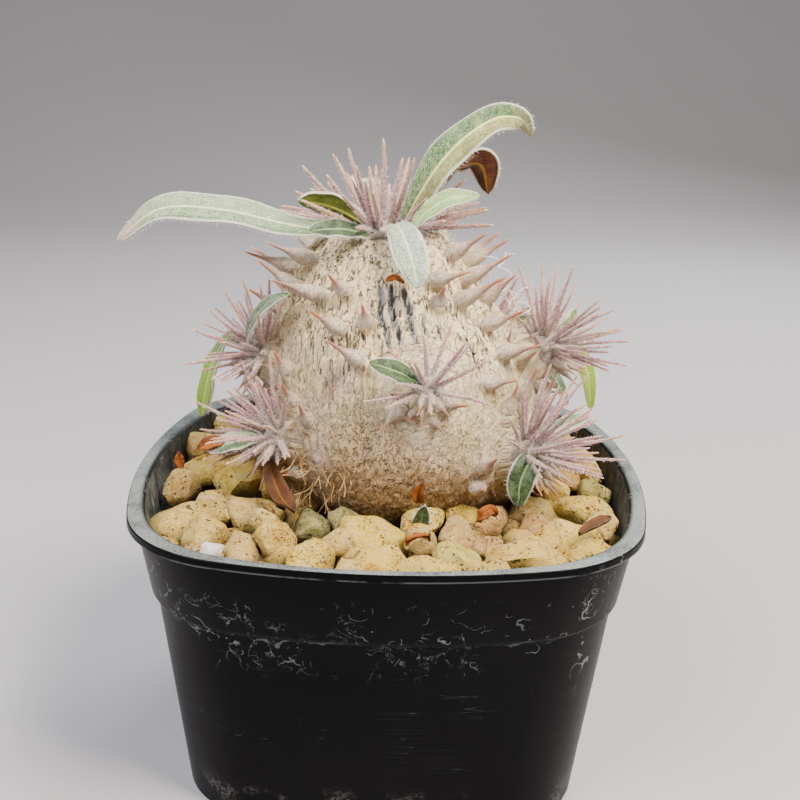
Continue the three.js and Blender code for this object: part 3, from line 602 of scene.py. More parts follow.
big_pores = pumice_look.cells(big_pore_size, pore_place).rise(0.22, 0.1)
big_pores = big_pores * pumice_look.chance(big_pore_size, pore_place).rise(0.68, 0.72)
holes = (pores * pored * 0.8 + fine_pores + big_pores).rise(0, 1.1) * tone.rise(0.02, 0.15)
sandy = pumice_look.grain(0.22 * mm, point, 3, 0.8)
rock = rock.over(sandy.rise(0.52, 0.64) * 0.5, "6d5228")
rock = rock.over(holes * 0.9, "4c3819")
# Painted shade: stone faces that lie lower, in the gaps between the top stones, are painted dark.
deep = pumice_look.part(point, "Z").rise(49.6 * mm, 46 * mm)
pumice_look.feed("Base Color", rock.over(deep * 0.85, "2a2010"))
grainy = pumice_look.grain(0.5 * mm, point, 5, 0.75) * 0.7 + mottled * 0.8
pumice_look.bump(grainy - holes * 0.9, 1.1 * mm)

finish_piece(pumice, [pumice_look])
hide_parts("pumice_top_dressing")

# The caudex is the plant's swollen stem, one living piece with the short branches that end in
# growing tips. Its bark has split into long dark fissures under the crown and a fine net of
# cracks lower down, wrinkles round each branch, and is felted pale by the branches.
stem_sections = [
    (19, 1, 2.5, 2.5), (29, 1, 5.5, 5.5), (37, 1.5, 10, 10), (43, 2, 17, 16), (47, 2.5, 23, 19.5),
    (51, 3, 26.3, 22.3), (57, 3, 27.8, 24.2), (63, 2.8, 27, 24.4), (71, 1.5, 25, 23),
    (77, 0.5, 23, 21.3), (82, -1, 20.2, 19.3), (87, -1.7, 16.8, 17), (92, -2, 13.8, 14.5),
    (95.4, -2, 10.5, 11.5),
]
crown_level = 95.4
crown_seat = crown_level * mm
stem_sides = 64
stem_level_count = 48
stem_level_gap = 1.6
branch_foot_swell = 1.12
branch_tip_swell = 1.04
mound_radius = 1.9 * mm
mound_depth = 0.9 * mm
mound_stretch = 1.35
bark_voxel = 0.44 * mm
bark_easing_rounds = 9

# Growing tips: where each is, the compass and rise that it faces, where its branch leaves the
# stem, the branch's radii, its needles with their spread and lengths, and its seed
heads = {
    "left_upper": ((-24.3, -1, 74.3), (-80, 22), (-12, 3, 67), (7.5, 4.6), 25, 80, (8, 12.5), 11),
    "left_lower": ((-20.8, -10, 61.4), (-62, 12), (-8, -2, 57), (10, 5), 25, 78, (8, 12.5), 23),
    "front": ((6.6, -18.2, 73.6), (8, 34), (4, -6, 65), (7, 3.4), 17, 72, (7, 10), 37),
    "right_upper": ((28.6, 1, 76.6), (78, 36), (13, 4, 65), (9.5, 5.2), 25, 80, (8, 13), 41),
    "right_lower": ((25.6, -11, 60), (62, 14), (12, -2, 56), (12.5, 5.6), 28, 80, (9, 15), 53),
    "back_left": ((-15.5, 29.5, 67), (-148, 24), (-5, 14, 61), (9, 4.8), 22, 78, (8, 12), 67),
    "back_right": ((19.5, 26.5, 72), (142, 30), (8, 12, 65), (8.5, 4.8), 22, 78, (8, 12), 79),
}

# Stout thorns: compass and height of the base, compass and rise of the thorn, and its length
stout_thorns = [
    (-34, 86, -61, 19, 11), (-20, 87, -41, 30, 6), (-20, 81, -54, 27, 7.5), (-9, 82, -8, 45, 5),
    (-11, 76, -63, 30, 8.5), (-58, 86, -68, 30, 9.5), (-56, 91, -58, 20, 10), (-74, 89, -80, 12, 10),
    (-96, 87, -98, 24, 9), (-70, 82, -76, 26, 7), (58, 92, 62, 30, 9), (60, 88, 64, 26, 10.5),
    (44, 85, 60, 27, 10.5), (30, 89, 66, 12, 8), (32, 85, 22, 38, 5), (54, 81, 64, 20, 8.5),
    (72, 84, 56, 34, 8), (55, 76.5, 52, 14, 8), (84, 90, 82, 24, 9), (3, 70.5, -48, -38, 6.5),
    (38, 72.5, 60, 8, 6), (30, 58, 18, 30, 6), (28, 54.5, 14, 8, 5.5), (44, 66, 34, 58, 7),
    (56, 67.5, 50, 60, 7.5), (68, 65, 62, 58, 7), (-52, 72, -44, 42, 5.5), (-47, 67, -38, 40, 6),
    (-40, 64, -20, 46, 6.5), (-44, 55, -34, 4, 5), (112, 89, 110, 28, 9), (140, 91, 142, 20, 9),
    (168, 87, 166, 28, 8.5), (-166, 91, -164, 22, 9), (-138, 87, -140, 26, 8.5),
    (-118, 91, -120, 18, 9), (124, 81, 126, 24, 7.5), (154, 78, 150, 30, 7), (-176, 79, -178, 26, 7),
    (-122, 79, -120, 28, 7), (176, 67, 176, 24, 6.5), (112, 67, 110, 30, 6.5),
    (-112, 67, -110, 30, 6.5),
]

# Wide fissures of the upper bark: compass, height of the top and bottom, and width
fissures = [
    (0, 90, 76, 0.95), (6, 90.5, 75.5, 1), (14.5, 90, 75.5, 1.15), (21, 86, 79, 0.5),
    (-12, 85, 78.5, 0.5), (28, 84, 78, 0.45), (-27, 83, 77, 0.4), (40, 82, 73, 0.5),
    (-75, 83, 75, 0.8), (95, 85, 76, 0.9), (130, 87, 77, 1), (165, 86, 75, 1.1), (-150, 87, 76, 1),
    (-115, 85, 75, 0.8), (-165, 83, 74, 0.8), (150, 82, 71, 0.8),
]


def heading(compass, rise):
    """A direction from its compass angle, 0 facing the front and 90 to the right, and its rise."""
    turn, lift = math.radians(compass), math.radians(rise)
    return Vector((math.sin(turn) * math.cos(lift), -math.cos(turn) * math.cos(lift), math.sin(lift)))


def frame_across(direction):
    """Two directions square to a given one."""
    helper = Vector((0, 0, 1)) if abs(direction.z) < 0.9 else Vector((1, 0, 0))
    across = helper.cross(direction).normalized()
    return across, direction.cross(across).normalized()


def stem_at(height):
    """Sideways middle, half width and half depth of the stem at a height, in metres."""
    last = len(stem_sections) - 1
    low = max(0, min(last - 1, sum(section[0] * mm <= height for section in stem_sections) - 1))
    before, start, end, after = (stem_sections[max(0, min(last, low + step))] for step in (-1, 0, 1, 2))
    share = max(0, min(1, (height / mm - start[0]) / (end[0] - start[0])))
    found = []
    for a, b, c, d in zip(before[1:], start[1:], end[1:], after[1:]):
        curve = 2 * b + (c - a) * share + (2 * a - 5 * b + 4 * c - d) * share ** 2
        found.append((curve + (3 * b - a - 3 * c + d) * share ** 3) / 2 * mm)
    return found


def stem_point(compass, height, outwards=0.0):
    middle, half_width, half_depth = stem_at(height)
    turn = math.radians(compass)
    return Vector((middle + (half_width + outwards) * math.sin(turn),
                   caudex_depth - (half_depth + outwards) * math.cos(turn), height))


def turned_to(direction, at):
    """The place of a shape that stands along +Z, turned to a direction and set at a point."""
    return Matrix.Translation(at) @ direction.to_track_quat("Z", "Y").to_matrix().to_4x4()


def in_metres(numbers):
    return Vector(numbers) * mm


def branch_tip(at, faces, radii):
    """The middle of a branch's round end, and the direction that it faces."""
    towards = heading(*faces)
    return in_metres(at) - towards * radii[1] * mm, towards


body = bmesh.new()
stem_foot = stem_sections[0][0] * mm
stem_levels = [stem_foot + step * stem_level_gap * mm for step in range(stem_level_count)] + [crown_seat]
closed_wall(body, [[stem_point(360 * side / stem_sides, level) for side in range(stem_sides)]
                   for level in stem_levels if level <= crown_seat])
for at, faces, start, radii, *rest in heads.values():
    root, end = in_metres(start), branch_tip(at, faces, radii)[0]
    limb = end - root
    foot_radius, tip_radius = radii[0] * branch_foot_swell * mm, radii[1] * branch_tip_swell * mm
    bmesh.ops.create_cone(
        body, cap_ends=True, segments=28, radius1=foot_radius, radius2=tip_radius,
        depth=limb.length, matrix=turned_to(limb.normalized(), (root + end) / 2))
    bmesh.ops.create_icosphere(
        body, subdivisions=3, radius=tip_radius, matrix=Matrix.Translation(end))
for compass, height, lean, rise, length in stout_thorns:
    foot = stem_point(compass, height * mm, -mound_depth)
    swell = turned_to(heading(lean, rise), foot) @ Matrix.Diagonal((1, 1, mound_stretch, 1))
    bmesh.ops.create_icosphere(body, subdivisions=2, radius=mound_radius, matrix=swell)
caudex = new_object("caudex_bark", body)
fused = caudex.modifiers.new("one_piece", "REMESH")
fused.mode = "VOXEL"
fused.voxel_size = bark_voxel
eased = caudex.modifiers.new("eased", "SMOOTH")
eased.factor = 0.5
eased.iterations = bark_easing_rounds
settle_modifiers(caudex)


def soft_step(value, low, high):
    share = max(0, min(1, (value - low) / (high - low)))
    return share * share * (3 - 2 * share)


def fissure_at(point, compass, stem_radius):
    """How deep in a wide fissure a point of the upper bark lies, 0 to 1."""
    deepest = 0
    height = point.z / mm
    wobble = 0.35 * noise.noise(Vector((0, compass * 0.05, height * 0.22)))
    for where, top, bottom, width in fissures:
        if bottom < height < top:
            aside = (compass - where + 180) % 360 - 180
            wiggle = 0.12 * math.sin(height * 1.1 + where)
            gap = abs(math.radians(aside) * stem_radius / mm - wobble - wiggle)
            ends = min(soft_step(height, bottom, bottom + 3), soft_step(height, top, top - 2.5))
            broken = 0.95 + 0.2 * noise.noise(Vector((where, height * 0.5, 3)))
            deepest = max(deepest, (1 - soft_step(gap, width * 0.25, width * 0.75)) * ends * broken)
    return min(1, deepest)


def wrinkle_at(point):
    """Nearness of a branch, 0 to 1, and the place relative to that branch for its wrinkles."""
    nearest, best = None, 1e9
    for at, faces, start, radii, *rest in heads.values():
        middle, towards = branch_tip(at, faces, radii)
        gap = (point - middle).length - radii[1] * mm
        if gap < best:
            nearest, best = (middle, towards), gap
    middle, towards = nearest
    across, upward = frame_across(towards)
    offset = point - middle
    turn = math.atan2(offset.dot(upward), offset.dot(across))
    local = Vector((math.cos(turn) * 2.6 * mm, math.sin(turn) * 2.6 * mm, offset.length))
    return 1 - soft_step(best, 1.5 * mm, 9 * mm), local


def creased(value):
    """Turns smooth noise into flat plates with sharp creases between them."""
    return 0.35 - 1.3 * max(0, 0.24 - abs(value)) / 0.24


bark_mesh = caudex.data
fissured, branched, wrinkled = [], [], []
normals = [vert.normal.copy() for vert in bark_mesh.vertices]
for vert, normal in zip(bark_mesh.vertices, normals):
    point = vert.co.copy()
    middle, half_width, half_depth = stem_at(point.z)
    compass = math.degrees(math.atan2(point.x - middle, caudex_depth - point.y))
    depth = fissure_at(point, compass, half_width) if point.z > 70 * mm else 0
    branchness, local = wrinkle_at(point)
    depth *= 1 - branchness
    lumps = noise.noise(point / (9 * mm)) * 0.5
    sway = noise.noise(point / (5 * mm)) * 1.2 * mm
    ridges = noise.noise(Vector((point.x + sway, point.y - sway, point.z * 0.2)) / (1.3 * mm))
    net = noise.noise(Vector((point.x + sway, point.y, point.z * 0.75 + sway)) / (1.15 * mm))
    furrows = noise.noise(Vector((local.x, local.y, local.z + sway * 0.4)) / (0.95 * mm))
    upper = soft_step(point.z, 62 * mm, 76 * mm)
    rough = noise.noise(point / (0.9 * mm)) * 0.1
    trunk = creased(ridges) * 0.3 * upper + creased(net) * 0.24 * (1 - upper)
    relief = lumps + (1 - branchness) * trunk + branchness * creased(furrows) * 0.22 + rough
    vert.co = point + normal * (relief - depth * 0.6) * mm
    fissured.append(depth)
    branched.append(branchness)
    wrinkled.extend(local)
bark_mesh.attributes.new("fissure", "FLOAT", "POINT").data.foreach_set("value", fissured)
bark_mesh.attributes.new("branch", "FLOAT", "POINT").data.foreach_set("value", branched)
bark_mesh.attributes.new("wrinkle", "FLOAT_VECTOR", "POINT").data.foreach_set("vector", wrinkled)

bark = Look("caudex_bark", {"Specular IOR Level": 0.25})
point = bark.place()
x, z = bark.part(point, "X"), bark.part(point, "Z")
branch = bark.mark("branch")
split = bark.mark("fissure")
local = bark.node("Attribute", {"attribute_name": "wrinkle"}, {}, "Vector")
upper = z.rise(62 * mm, 78 * mm)
lower = z.rise(66 * mm, 53 * mm)
# Painted light: the bark's upper right side, where the light falls, is painted paler.
painted_sunlit_side = (x * 0.7 + z * 0.5).rise(30 * mm, 52 * mm)
long_place = bark.warped(bark.place((1, 1, 0.13)), 3 * mm, 1.4 * mm)
net_place = bark.warped(bark.place((1, 1, 0.75)), 2.4 * mm, 2.4 * mm)
ring_place = bark.warped(local, 2.4 * mm, 1.6 * mm)


def crack_lines(look, place, size):
    """Thin wandering dark lines, with fainter ones between them."""
    main = look.grain(size, place, 3, 0.55).near(0.5, 0.026)
    fine = look.grain(size * 0.5, place, 3, 0.55).near(0.47, 0.026)
    return (main + fine * 0.6).rise(0, 1.2)


broken = bark.grain(2 * mm, point, 3).rise(0.28, 0.48)
long_cracks = crack_lines(bark, long_place, 1.7 * mm)
net_cracks = crack_lines(bark, net_place, 1.35 * mm) * (1 - lower * 0.3)
ring_cracks = crack_lines(bark, ring_place, 1.2 * mm) * 0.7
trunk_cracks = long_cracks * upper + net_cracks * (1 - upper)
cracks = (trunk_cracks * (1 - branch) + ring_cracks * branch) * (broken * 0.75 + 0.25)
streaks = bark.grain(1.2 * mm, bark.place((1, 1, 0.13)), 4, 0.65)
patches = bark.grain(7 * mm, point, 4)
skin = bark.blend(z.rise(72 * mm, 53 * mm), "dbc495", "a98a60")
pinkish = z.near(68 * mm, 13 * mm) * patches.rise(0.42, 0.62)
skin = skin.over(pinkish * 0.55, "c6ab99")
skin = skin.over(painted_sunlit_side * (1 - lower) * 0.8, "efdfb2")
skin = skin.over(streaks.rise(0.5, 0.72) * upper * 0.55, "a08462")
skin = skin.over(streaks.rise(0.45, 0.28) * upper * 0.5, "e4d8bd")
ochre = bark.grain(5 * mm, bark.place((1, 1, 0.4)), 3).rise(0.56, 0.7)
skin = skin.over(ochre * 0.4, "b4864a")
felt = (branch * (bark.grain(1.6 * mm, point, 5, 0.75).rise(0.36, 0.56) + 0.2)).rise(0.2, 1)
skin = skin.over(felt * 0.48, "d8caae")
speckle = bark.grain(0.35 * mm, point, 3, 0.8)
skin = skin.over(speckle.rise(0.55, 0.68) * (lower * 0.35 + 0.25), "60503f")
skin = skin.over(speckle.rise(0.46, 0.34) * 0.35, "efe6d2")
skin = skin.over(cracks * (1 - felt * 0.5) * 0.92, "45342a")
seams = bark.grain(0.7 * mm, bark.place((1, 1, 0.1)), 3).rise(0.42, 0.56)
inside_split = bark.blend(seams, "24272c", "8d9196")
foot_shade = z.rise(53.5 * mm, 49 * mm) * 0.55
skin = skin.over(foot_shade, "4a3926")
bark.feed("Base Color", bark.blend(split.rise(0.2, 0.7) * 0.95, skin, inside_split))
bark.feed("Roughness", cracks * 0.15 + speckle * 0.1 + 0.7)
relief = streaks * upper * 0.4 + speckle * 0.3 + patches * 0.2
bark.bump(relief - cracks, 0.65 * mm)

finish_piece(caudex, [bark])
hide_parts("caudex")

# The stout thorns are old leaf spines that stayed on the bark: a swollen, horny beige foot that
# draws out to a slender red-brown tip. Each grows out of a low mound of the bark.
thorn_radii = [
    (0, 1.9), (0.1, 1.66), (0.22, 1.74), (0.34, 1.6), (0.46, 1.2), (0.55, 0.78), (0.64, 0.46),
    (0.76, 0.31), (0.88, 0.22), (0.96, 0.13), (1, 0.03),
]
collar_thorns = 7
collar_thorn_lengths = (4.5 * mm, 7.5 * mm)
thorn_root = 1.2 * mm
thorn_flatness = 0.86


def reed_shape(name, sides, levels, finish=0):
    """A thin upright form of unit radius and height with rings at some levels."""
    bm = bmesh.new()
    bmesh.ops.create_cone(
        bm, cap_ends=True, segments=sides, radius1=1, radius2=1, depth=1,
        matrix=Matrix.Translation((0, 0, 0.5)))
    for level in levels:
        bmesh.ops.bisect_plane(bm, geom=[*bm.verts, *bm.edges, *bm.faces],
                               plane_co=(0, 0, level), plane_no=(0, 0, 1))
    for face in bm.faces:
        face.material_index = finish
    return as_mesh(name, bm)


def radius_on(profile, share):
    """The radius at a share of the length, from a list of shares and radii in millimetres."""
    share = max(0, share)
    for (low, start), (high, end) in zip(profile, profile[1:]):
        if share <= high:
            return (start + (end - start) * (share - low) / (high - low)) * mm
    return profile[-1][1] * mm


def along_reed(root, direction, length, profile, bend, flatness=1.0):
    """A function that sets a reed's points along a direction, bent sideways towards its tip."""
    across, upward = frame_across(direction)
    return lambda point: (
        root + direction * (point.z * length) + bend * point.z ** 2
        + (across * point.x + upward * (point.y * flatness)) * radius_on(profile, point.z))


thorn_shape = reed_shape("thorn_shape", 10, [share for share, radius in thorn_radii[1:-1]])


def add_thorn(bm, draw, root, direction, length, size=1.0, shape=thorn_shape):
    across, upward = frame_across(direction)
    bend = (upward * (0.3 + draw() * 0.9) + across * (draw() - 0.5) * 1.4) * mm
    profile = [(share, radius * size) for share, radius in thorn_radii]
    stamp(bm, shape, along_reed(root, direction, length, profile, bend, thorn_flatness), draw())


thorns = marked_bmesh()
draw = random_from(311)
for compass, height, lean, rise, length in stout_thorns:
    root = stem_point(compass, height * mm, -thorn_root)
    add_thorn(thorns, draw, root, heading(lean, rise), length * mm + thorn_root)
for name, (at, faces, start, radii, *rest) in heads.items():
    end, towards = branch_tip(at, faces, radii)
    limb = (end - in_metres(start)).normalized()
    across, upward = frame_across(limb)
    for index in range(collar_thorns):
        turn = 2 * math.pi * (index + 0.3 + 0.4 * draw()) / collar_thorns
        outwards = across * math.cos(turn) + upward * math.sin(turn)
        shortest, longest = collar_thorn_lengths
        length = shortest + (longest - shortest) * draw()
        back = (0.5 + 2.5 * draw()) * mm
        root = end - limb * back + outwards * (radii[1] * 0.86 * mm)
        direction = (towards * 0.7 + outwards * (0.6 + 0.4 * draw())).normalized()
        add_thorn(thorns, draw, root, direction, length, 0.62 + 0.2 * draw())
thorn_piece = new_object("stout_thorns", thorns)

horn = Look("horny_thorns", {"Specular IOR Level": 0.4})
point = horn.place()
along = horn.mark("along")
tone = horn.mark("tone")
horn_ramp = [(0, "c0b096"), (0.3, "cfbfa6"), (0.48, "c2ae98"), (0.6, "ab8c7a"), (0.75, "ab7358"),
             (0.9, "c26a40"), (1, "e3c096")]
shell = horn.ramp(along, *horn_ramp)
shell = shell.over(tone.rise(0.35, 0.9) * 0.4, "a39189")
worn = horn.grain(0.8 * mm, point, 5, 0.75)
shell = shell.over(worn.rise(0.5, 0.66) * along.rise(0.8, 0.3) * 0.6, "ebe0cc")
shell = shell.over(worn.rise(0.45, 0.32) * along.rise(0.85, 0.4) * 0.45, "86725f")
creases = horn.grain(0.5 * mm, horn.place((1, 1, 0.6)), 3).near(0.5, 0.05)
horn.feed("Base Color", shell.over(creases * along.rise(0.75, 0.3) * 0.45, "6a5646"))
horn.feed("Roughness", worn * 0.2 + 0.5)
horn.bump(worn - creases * 0.6, 0.16 * mm)
finish_piece(thorn_piece, [horn])

# The leaves are thin and leathery, folded along a pale midrib and velvety with white hairs that
# are longest along their margins. They grow from the tip of the stem or of a branch, apart from a
# young one between the stones, and two dead dry ones lie on the stones.
blade_thickness = 0.42 * mm
blade_steps_across = 10
blade_steps_along = 34
curve_steps = 24
hair_spacing = 0.34 * mm
hair_radius = 0.036 * mm
hair_taper = 0.85
blade_fold = 0.28
midrib_depth = 0.16 * mm
face_hairs_per_area = 5e6

# Each leaf: its middle line from base to tip in millimetres, its greatest width, how far along
# that is, the way its upper face looks and its kind of finish. Where the leaf turns or is folded
# more or less than others, the way that its tip's upper face looks and its share of fold follow
leaves = {
    "crown_left": ([(-9.5, 1, 96.4), (-14.6, -0.5, 96.6), (-19.6, -2, 97.6), (-29.3, -5, 100),
                    (-39.3, -6, 100), (-47, -6, 94.6)], 6.3, 0.55, (-0.1, -0.62, 0.78), "silver"),
    "crown_tall": ([(1.8, 2.6, 97.6), (4.6, 1.4, 103), (8.2, 0.4, 108.6), (12.8, 0, 113.2),
                    (17.6, 0, 115.8), (21.4, 0, 115.4), (22.8, 0.4, 112.8)],
                   6.9, 0.42, (-0.62, -0.72, 0.3), "tall"),
    "crown_curled": ([(5, 5.6, 98), (8.2, 7, 103), (11.6, 9, 106.8), (15.2, 11, 107), (17, 12.6, 101.6)],
                     7, 0.6, (-0.6, -0.5, 0.6), "curled", (0.5, 0.85, 0.1), 1.3),
    "crown_pale": ([(3.4, -3.2, 97.8), (5.8, -3, 100.4), (9.8, -2.6, 102.6), (14.4, -2.2, 103)],
                   3.6, 0.5, (-0.2, -0.7, 0.68), "pale"),
    "crown_olive": ([(-5.2, 0.4, 97.6), (-9.4, -0.8, 100), (-13, -1.8, 101.2), (-16.4, -2.8, 101.6)],
                    5, 0.6, (0.1, 0.86, 0.5), "olive"),
    "crown_dark": ([(-4.4, -4.4, 96.4), (-8, -6.4, 97.4), (-11.2, -8, 97.6), (-14, -9.4, 97.4)],
                   4.2, 0.55, (0, -0.6, 0.8), "green"),
    "crown_front": ([(0.2, -3.2, 97.9), (1.4, -8.2, 97.6), (2.9, -12, 94.4), (4.4, -14.2, 89.6)],
                    5.6, 0.6, (0.05, -0.75, 0.66), "felted"),
    "crown_back": ([(-3.4, 11.2, 97.6), (-5, 16.4, 101.6), (-7, 22.2, 102.4), (-8.6, 27, 99.2)],
                   5.4, 0.55, (-0.1, 0.5, 0.86), "silver"),
    "left_strap": ([(-25.6, -3.2, 75.8), (-24.2, -6.4, 80.8), (-20.6, -7.6, 85.2), (-17.4, -8, 86.6)],
                   2.8, 0.5, (-0.75, -0.5, 0.4), "strap"),
    "left_bent": ([(-25.6, 0.4, 75.2), (-29.4, 1.8, 76.2), (-32.6, 3, 71.6), (-34.6, 4.4, 65.8),
                   (-36, 5.6, 59.6)], 4.4, 0.6, (-0.8, -0.1, 0.6), "yellow", (-0.35, -0.93, 0.1), 0.8),
    "left_lower": ([(-22.6, -10.6, 61.4), (-25, -11.8, 61.4), (-28.6, -13, 60.6), (-31, -13.6, 59.4)],
                   3.8, 0.5, (-0.2, -0.6, 0.75), "silver"),
    "front_head": ([(4.9, -19.2, 74.6), (2.2, -20.2, 76.4), (-0.6, -20.8, 77.6), (-3.2, -21.2, 78.4)],
                   3.9, 0.5, (-0.1, -0.65, 0.75), "green"),
    "right_strap": ([(21.8, 25.4, 73.6), (28, 24.2, 75.2), (34.6, 22.4, 72.4), (39, 21.6, 66.2),
                     (40.8, 22, 57.6)], 4.2, 0.6, (0.7, -0.3, 0.62), "yellow", (0.3, -0.95, 0.1), 0.8),
    "right_hanging": ([(26.2, -12.6, 60.4), (24.2, -15.6, 59.6), (22.8, -17.2, 56.4),
                       (22.8, -17.4, 52.6)], 4.6, 0.55, (-0.1, -0.86, 0.5), "green"),
    "right_small": ([(27.4, -9.2, 61.2), (30.2, -7.6, 63.4), (33.2, -6.8, 64.8), (35.6, -6.2, 65.2)],
                    3.2, 0.5, (-0.2, -0.6, 0.75), "silver"),
    "right_bud": ([(30, 0.2, 77.6), (31.4, -0.4, 80.4), (32.4, -0.6, 83.6)],
                  2.6, 0.5, (0.3, -0.9, 0.2), "pale", None, 1.6),
    "back_right_low": ([(21.6, 24.4, 71.4), (27.6, 20.2, 69.2), (32.4, 17, 65), (34.8, 15, 60.6)],
                       4.4, 0.55, (0.5, -0.5, 0.7), "green"),
    "back_left_long": ([(-16.6, 31.2, 68), (-20, 35, 71.6), (-25, 38, 71.2), (-29.4, 40, 66.4),
                        (-31, 40.6, 61)], 5.2, 0.55, (-0.4, 0.5, 0.76), "silver"),
    "young_in_stones": ([(5.5, -17.6, 45.4), (5.9, -18.9, 49.2), (6.6, -20.4, 53.4)],
                        3, 0.5, (0, -0.9, 0.3), "green"),
}
dry_leaves = {
    "dry_leaf_front": ([(-20.6, -13.4, 58), (-19.4, -16.6, 55.6), (-17.8, -19.2, 53.2),
                        (-15.4, -22.4, 52.4)], 3.6, 0.6, (-0.5, -0.5, 0.7), "dry", (0.5, -0.6, 0.6), 2.8),
    "dry_leaf_right": ([(31.6, -29, 52.9), (34.4, -26.8, 53.6), (37.4, -24.4, 53.9)],
                       1.9, 0.6, (-0.2, -0.5, 0.84), "dry", None, 2.4),
}


def random_direction(draw):
    rise, turn = draw() * 2 - 1, draw() * 2 * math.pi
    flat = math.sqrt(1 - rise * rise)
    return Vector((flat * math.cos(turn), flat * math.sin(turn), rise))


def add_hair(bm, root, direction, length):
    across, upward = frame_across(direction)
    stamp(bm, hair_shape, lambda point: root + direction * (point.z * length)
          + (across * point.x + upward * point.y) * (hair_radius * (1 - hair_taper * point.z)), 0.5)


def curve_through(points):
    """A smooth line through some points, as a function from a share of its length to a point."""
    ends = [points[0] * 2 - points[1], *points, points[-1] * 2 - points[-2]]
    line = []
    for corners in zip(ends, ends[1:], ends[2:], ends[3:]):
        knots = [0]
        for low, high in zip(corners, corners[1:]):
            knots.append(knots[-1] + math.sqrt((high - low).length))

        def between(points, first, reach, at):
            spans = [(knots[i], knots[i + reach]) for i in range(first, first + len(points) - 1)]
            return [low.lerp(high, (at - start) / (end - start))
                    for low, high, (start, end) in zip(points, points[1:], spans)]

        for step in range(curve_steps):
            at = knots[1] + (knots[2] - knots[1]) * step / curve_steps
            middles = between(between(corners, 0, 1, at), 0, 2, at)
            line.append(between(middles, 1, 1, at)[0])
    line.append(points[-1])
    lengths = [0]
    for low, high in zip(line, line[1:]):
        lengths.append(lengths[-1] + (high - low).length)

    def at_share(share):
        wanted = share * lengths[-1]
        index = min(len(line) - 2, max(0, sum(length <= wanted for length in lengths) - 1))
        part = (wanted - lengths[index]) / max(lengths[index + 1] - lengths[index], 1e-9)
        return line[index].lerp(line[index + 1], part)

    return at_share, lengths[-1]


def blade_surface(path, width, widest, face, end_face, cup):
    """A leaf's surface as a function from a side, -1 to 1, and a share of its length to a point."""
    at_share, length = curve_through([in_metres(point) for point in path])
    look = Vector(face).normalized()
    end_look = Vector(end_face or face).normalized()

    def surface(side, share):
        middle = at_share(share)
        along = (at_share(min(1, share + 0.01)) - at_share(max(0, share - 0.01))).normalized()
        seen = look.slerp(end_look, share) if end_face else look
        across = along.cross(seen).normalized()
        out = across.cross(along).normalized()
        rising = share / widest if share < widest else (1 - share) / (1 - widest)
        full = math.sin(math.pi / 2 * rising) ** 0.7
        taper = 0.34 + 0.66 * full if share < widest else 0.1 + 0.9 * full
        half = width / 2 * mm * taper * min(1, math.sqrt(max(0, 1 - share) / 0.03 + 0.004))
        reach = abs(side)
        fold = blade_fold * cup * half * reach ** 1.35
        rolled = half * 0.2 * max(0, (reach - 0.72) / 0.28) ** 2
        wave = half * 0.09 * reach ** 2 * math.sin(share * 17 + (1.3 if side > 0 else 0) + width)
        rib = midrib_depth * math.exp(-(side / 0.1) ** 2) * (1 - share * 0.6)
        return middle + across * (side * half) + out * (fold - rolled + wave - rib)

    return surface, length


def add_blade(name, path, width, widest, face, end_face, cup, looks, hairy):
    """A leaf with its marginal hairs, closed all round, with its own map for the finish."""
    surface, length = blade_surface(path, width, widest, face, end_face, cup)
    bm = bmesh.new()
    chart = bm.loops.layers.uv.new("UVMap")
    bmesh.ops.create_grid(bm, x_segments=blade_steps_across, y_segments=blade_steps_along, size=1)
    for bm_face in bm.faces:
        for loop in bm_face.loops:
            loop[chart].uv = ((loop.vert.co.x + 1) / 2, (loop.vert.co.y + 1) / 2)
    for vert in bm.verts:
        vert.co = surface(vert.co.x, (vert.co.y + 1) / 2)
    made = new_object(name, bm)
    for look in looks:
        made.data.materials.append(look.material)
    thick = made.modifiers.new("thickness", "SOLIDIFY")
    thick.thickness = blade_thickness
    thick.offset = 0
    thick.material_offset = 2
    thick.material_offset_rim = 2
    thick.use_even_offset = True
    settle_modifiers(made)
    shields.append(BVHTree.FromObject(made, bpy.context.evaluated_depsgraph_get()))
    if hairy:
        furred = marked_bmesh()
        furred.from_mesh(made.data)
        draw = random_from(1000 + int(length * 1e6))
        count = int(length / hair_spacing)
        for step in range(count * 2):
            side = 1 if step % 2 else -1
            share = 0.03 + 0.95 * (step // 2 + draw()) / count
            foot = surface(side * 0.98, share)
            outwards = (foot - surface(side * 0.8, share)).normalized()
            leaning = (outwards + random_direction(draw) * 0.55).normalized()
            add_hair(furred, foot, leaning, (0.35 + 0.55 * draw()) * mm)
        for hair in range(int(length * width * mm * face_hairs_per_area * looks[0].white)):
            side, share = draw() * 1.9 - 0.95, 0.04 + 0.92 * draw()
            foot = surface(side, share)
            out = (surface(side + 0.04, share) - foot).cross(surface(side, share + 0.02) - foot)
            leaning = (out.normalized() + random_direction(draw) * 0.8).normalized()
            add_hair(furred, foot, leaning, (0.35 + 0.3 * draw()) * mm)
        furred.to_mesh(made.data)
        furred.free()
    return made


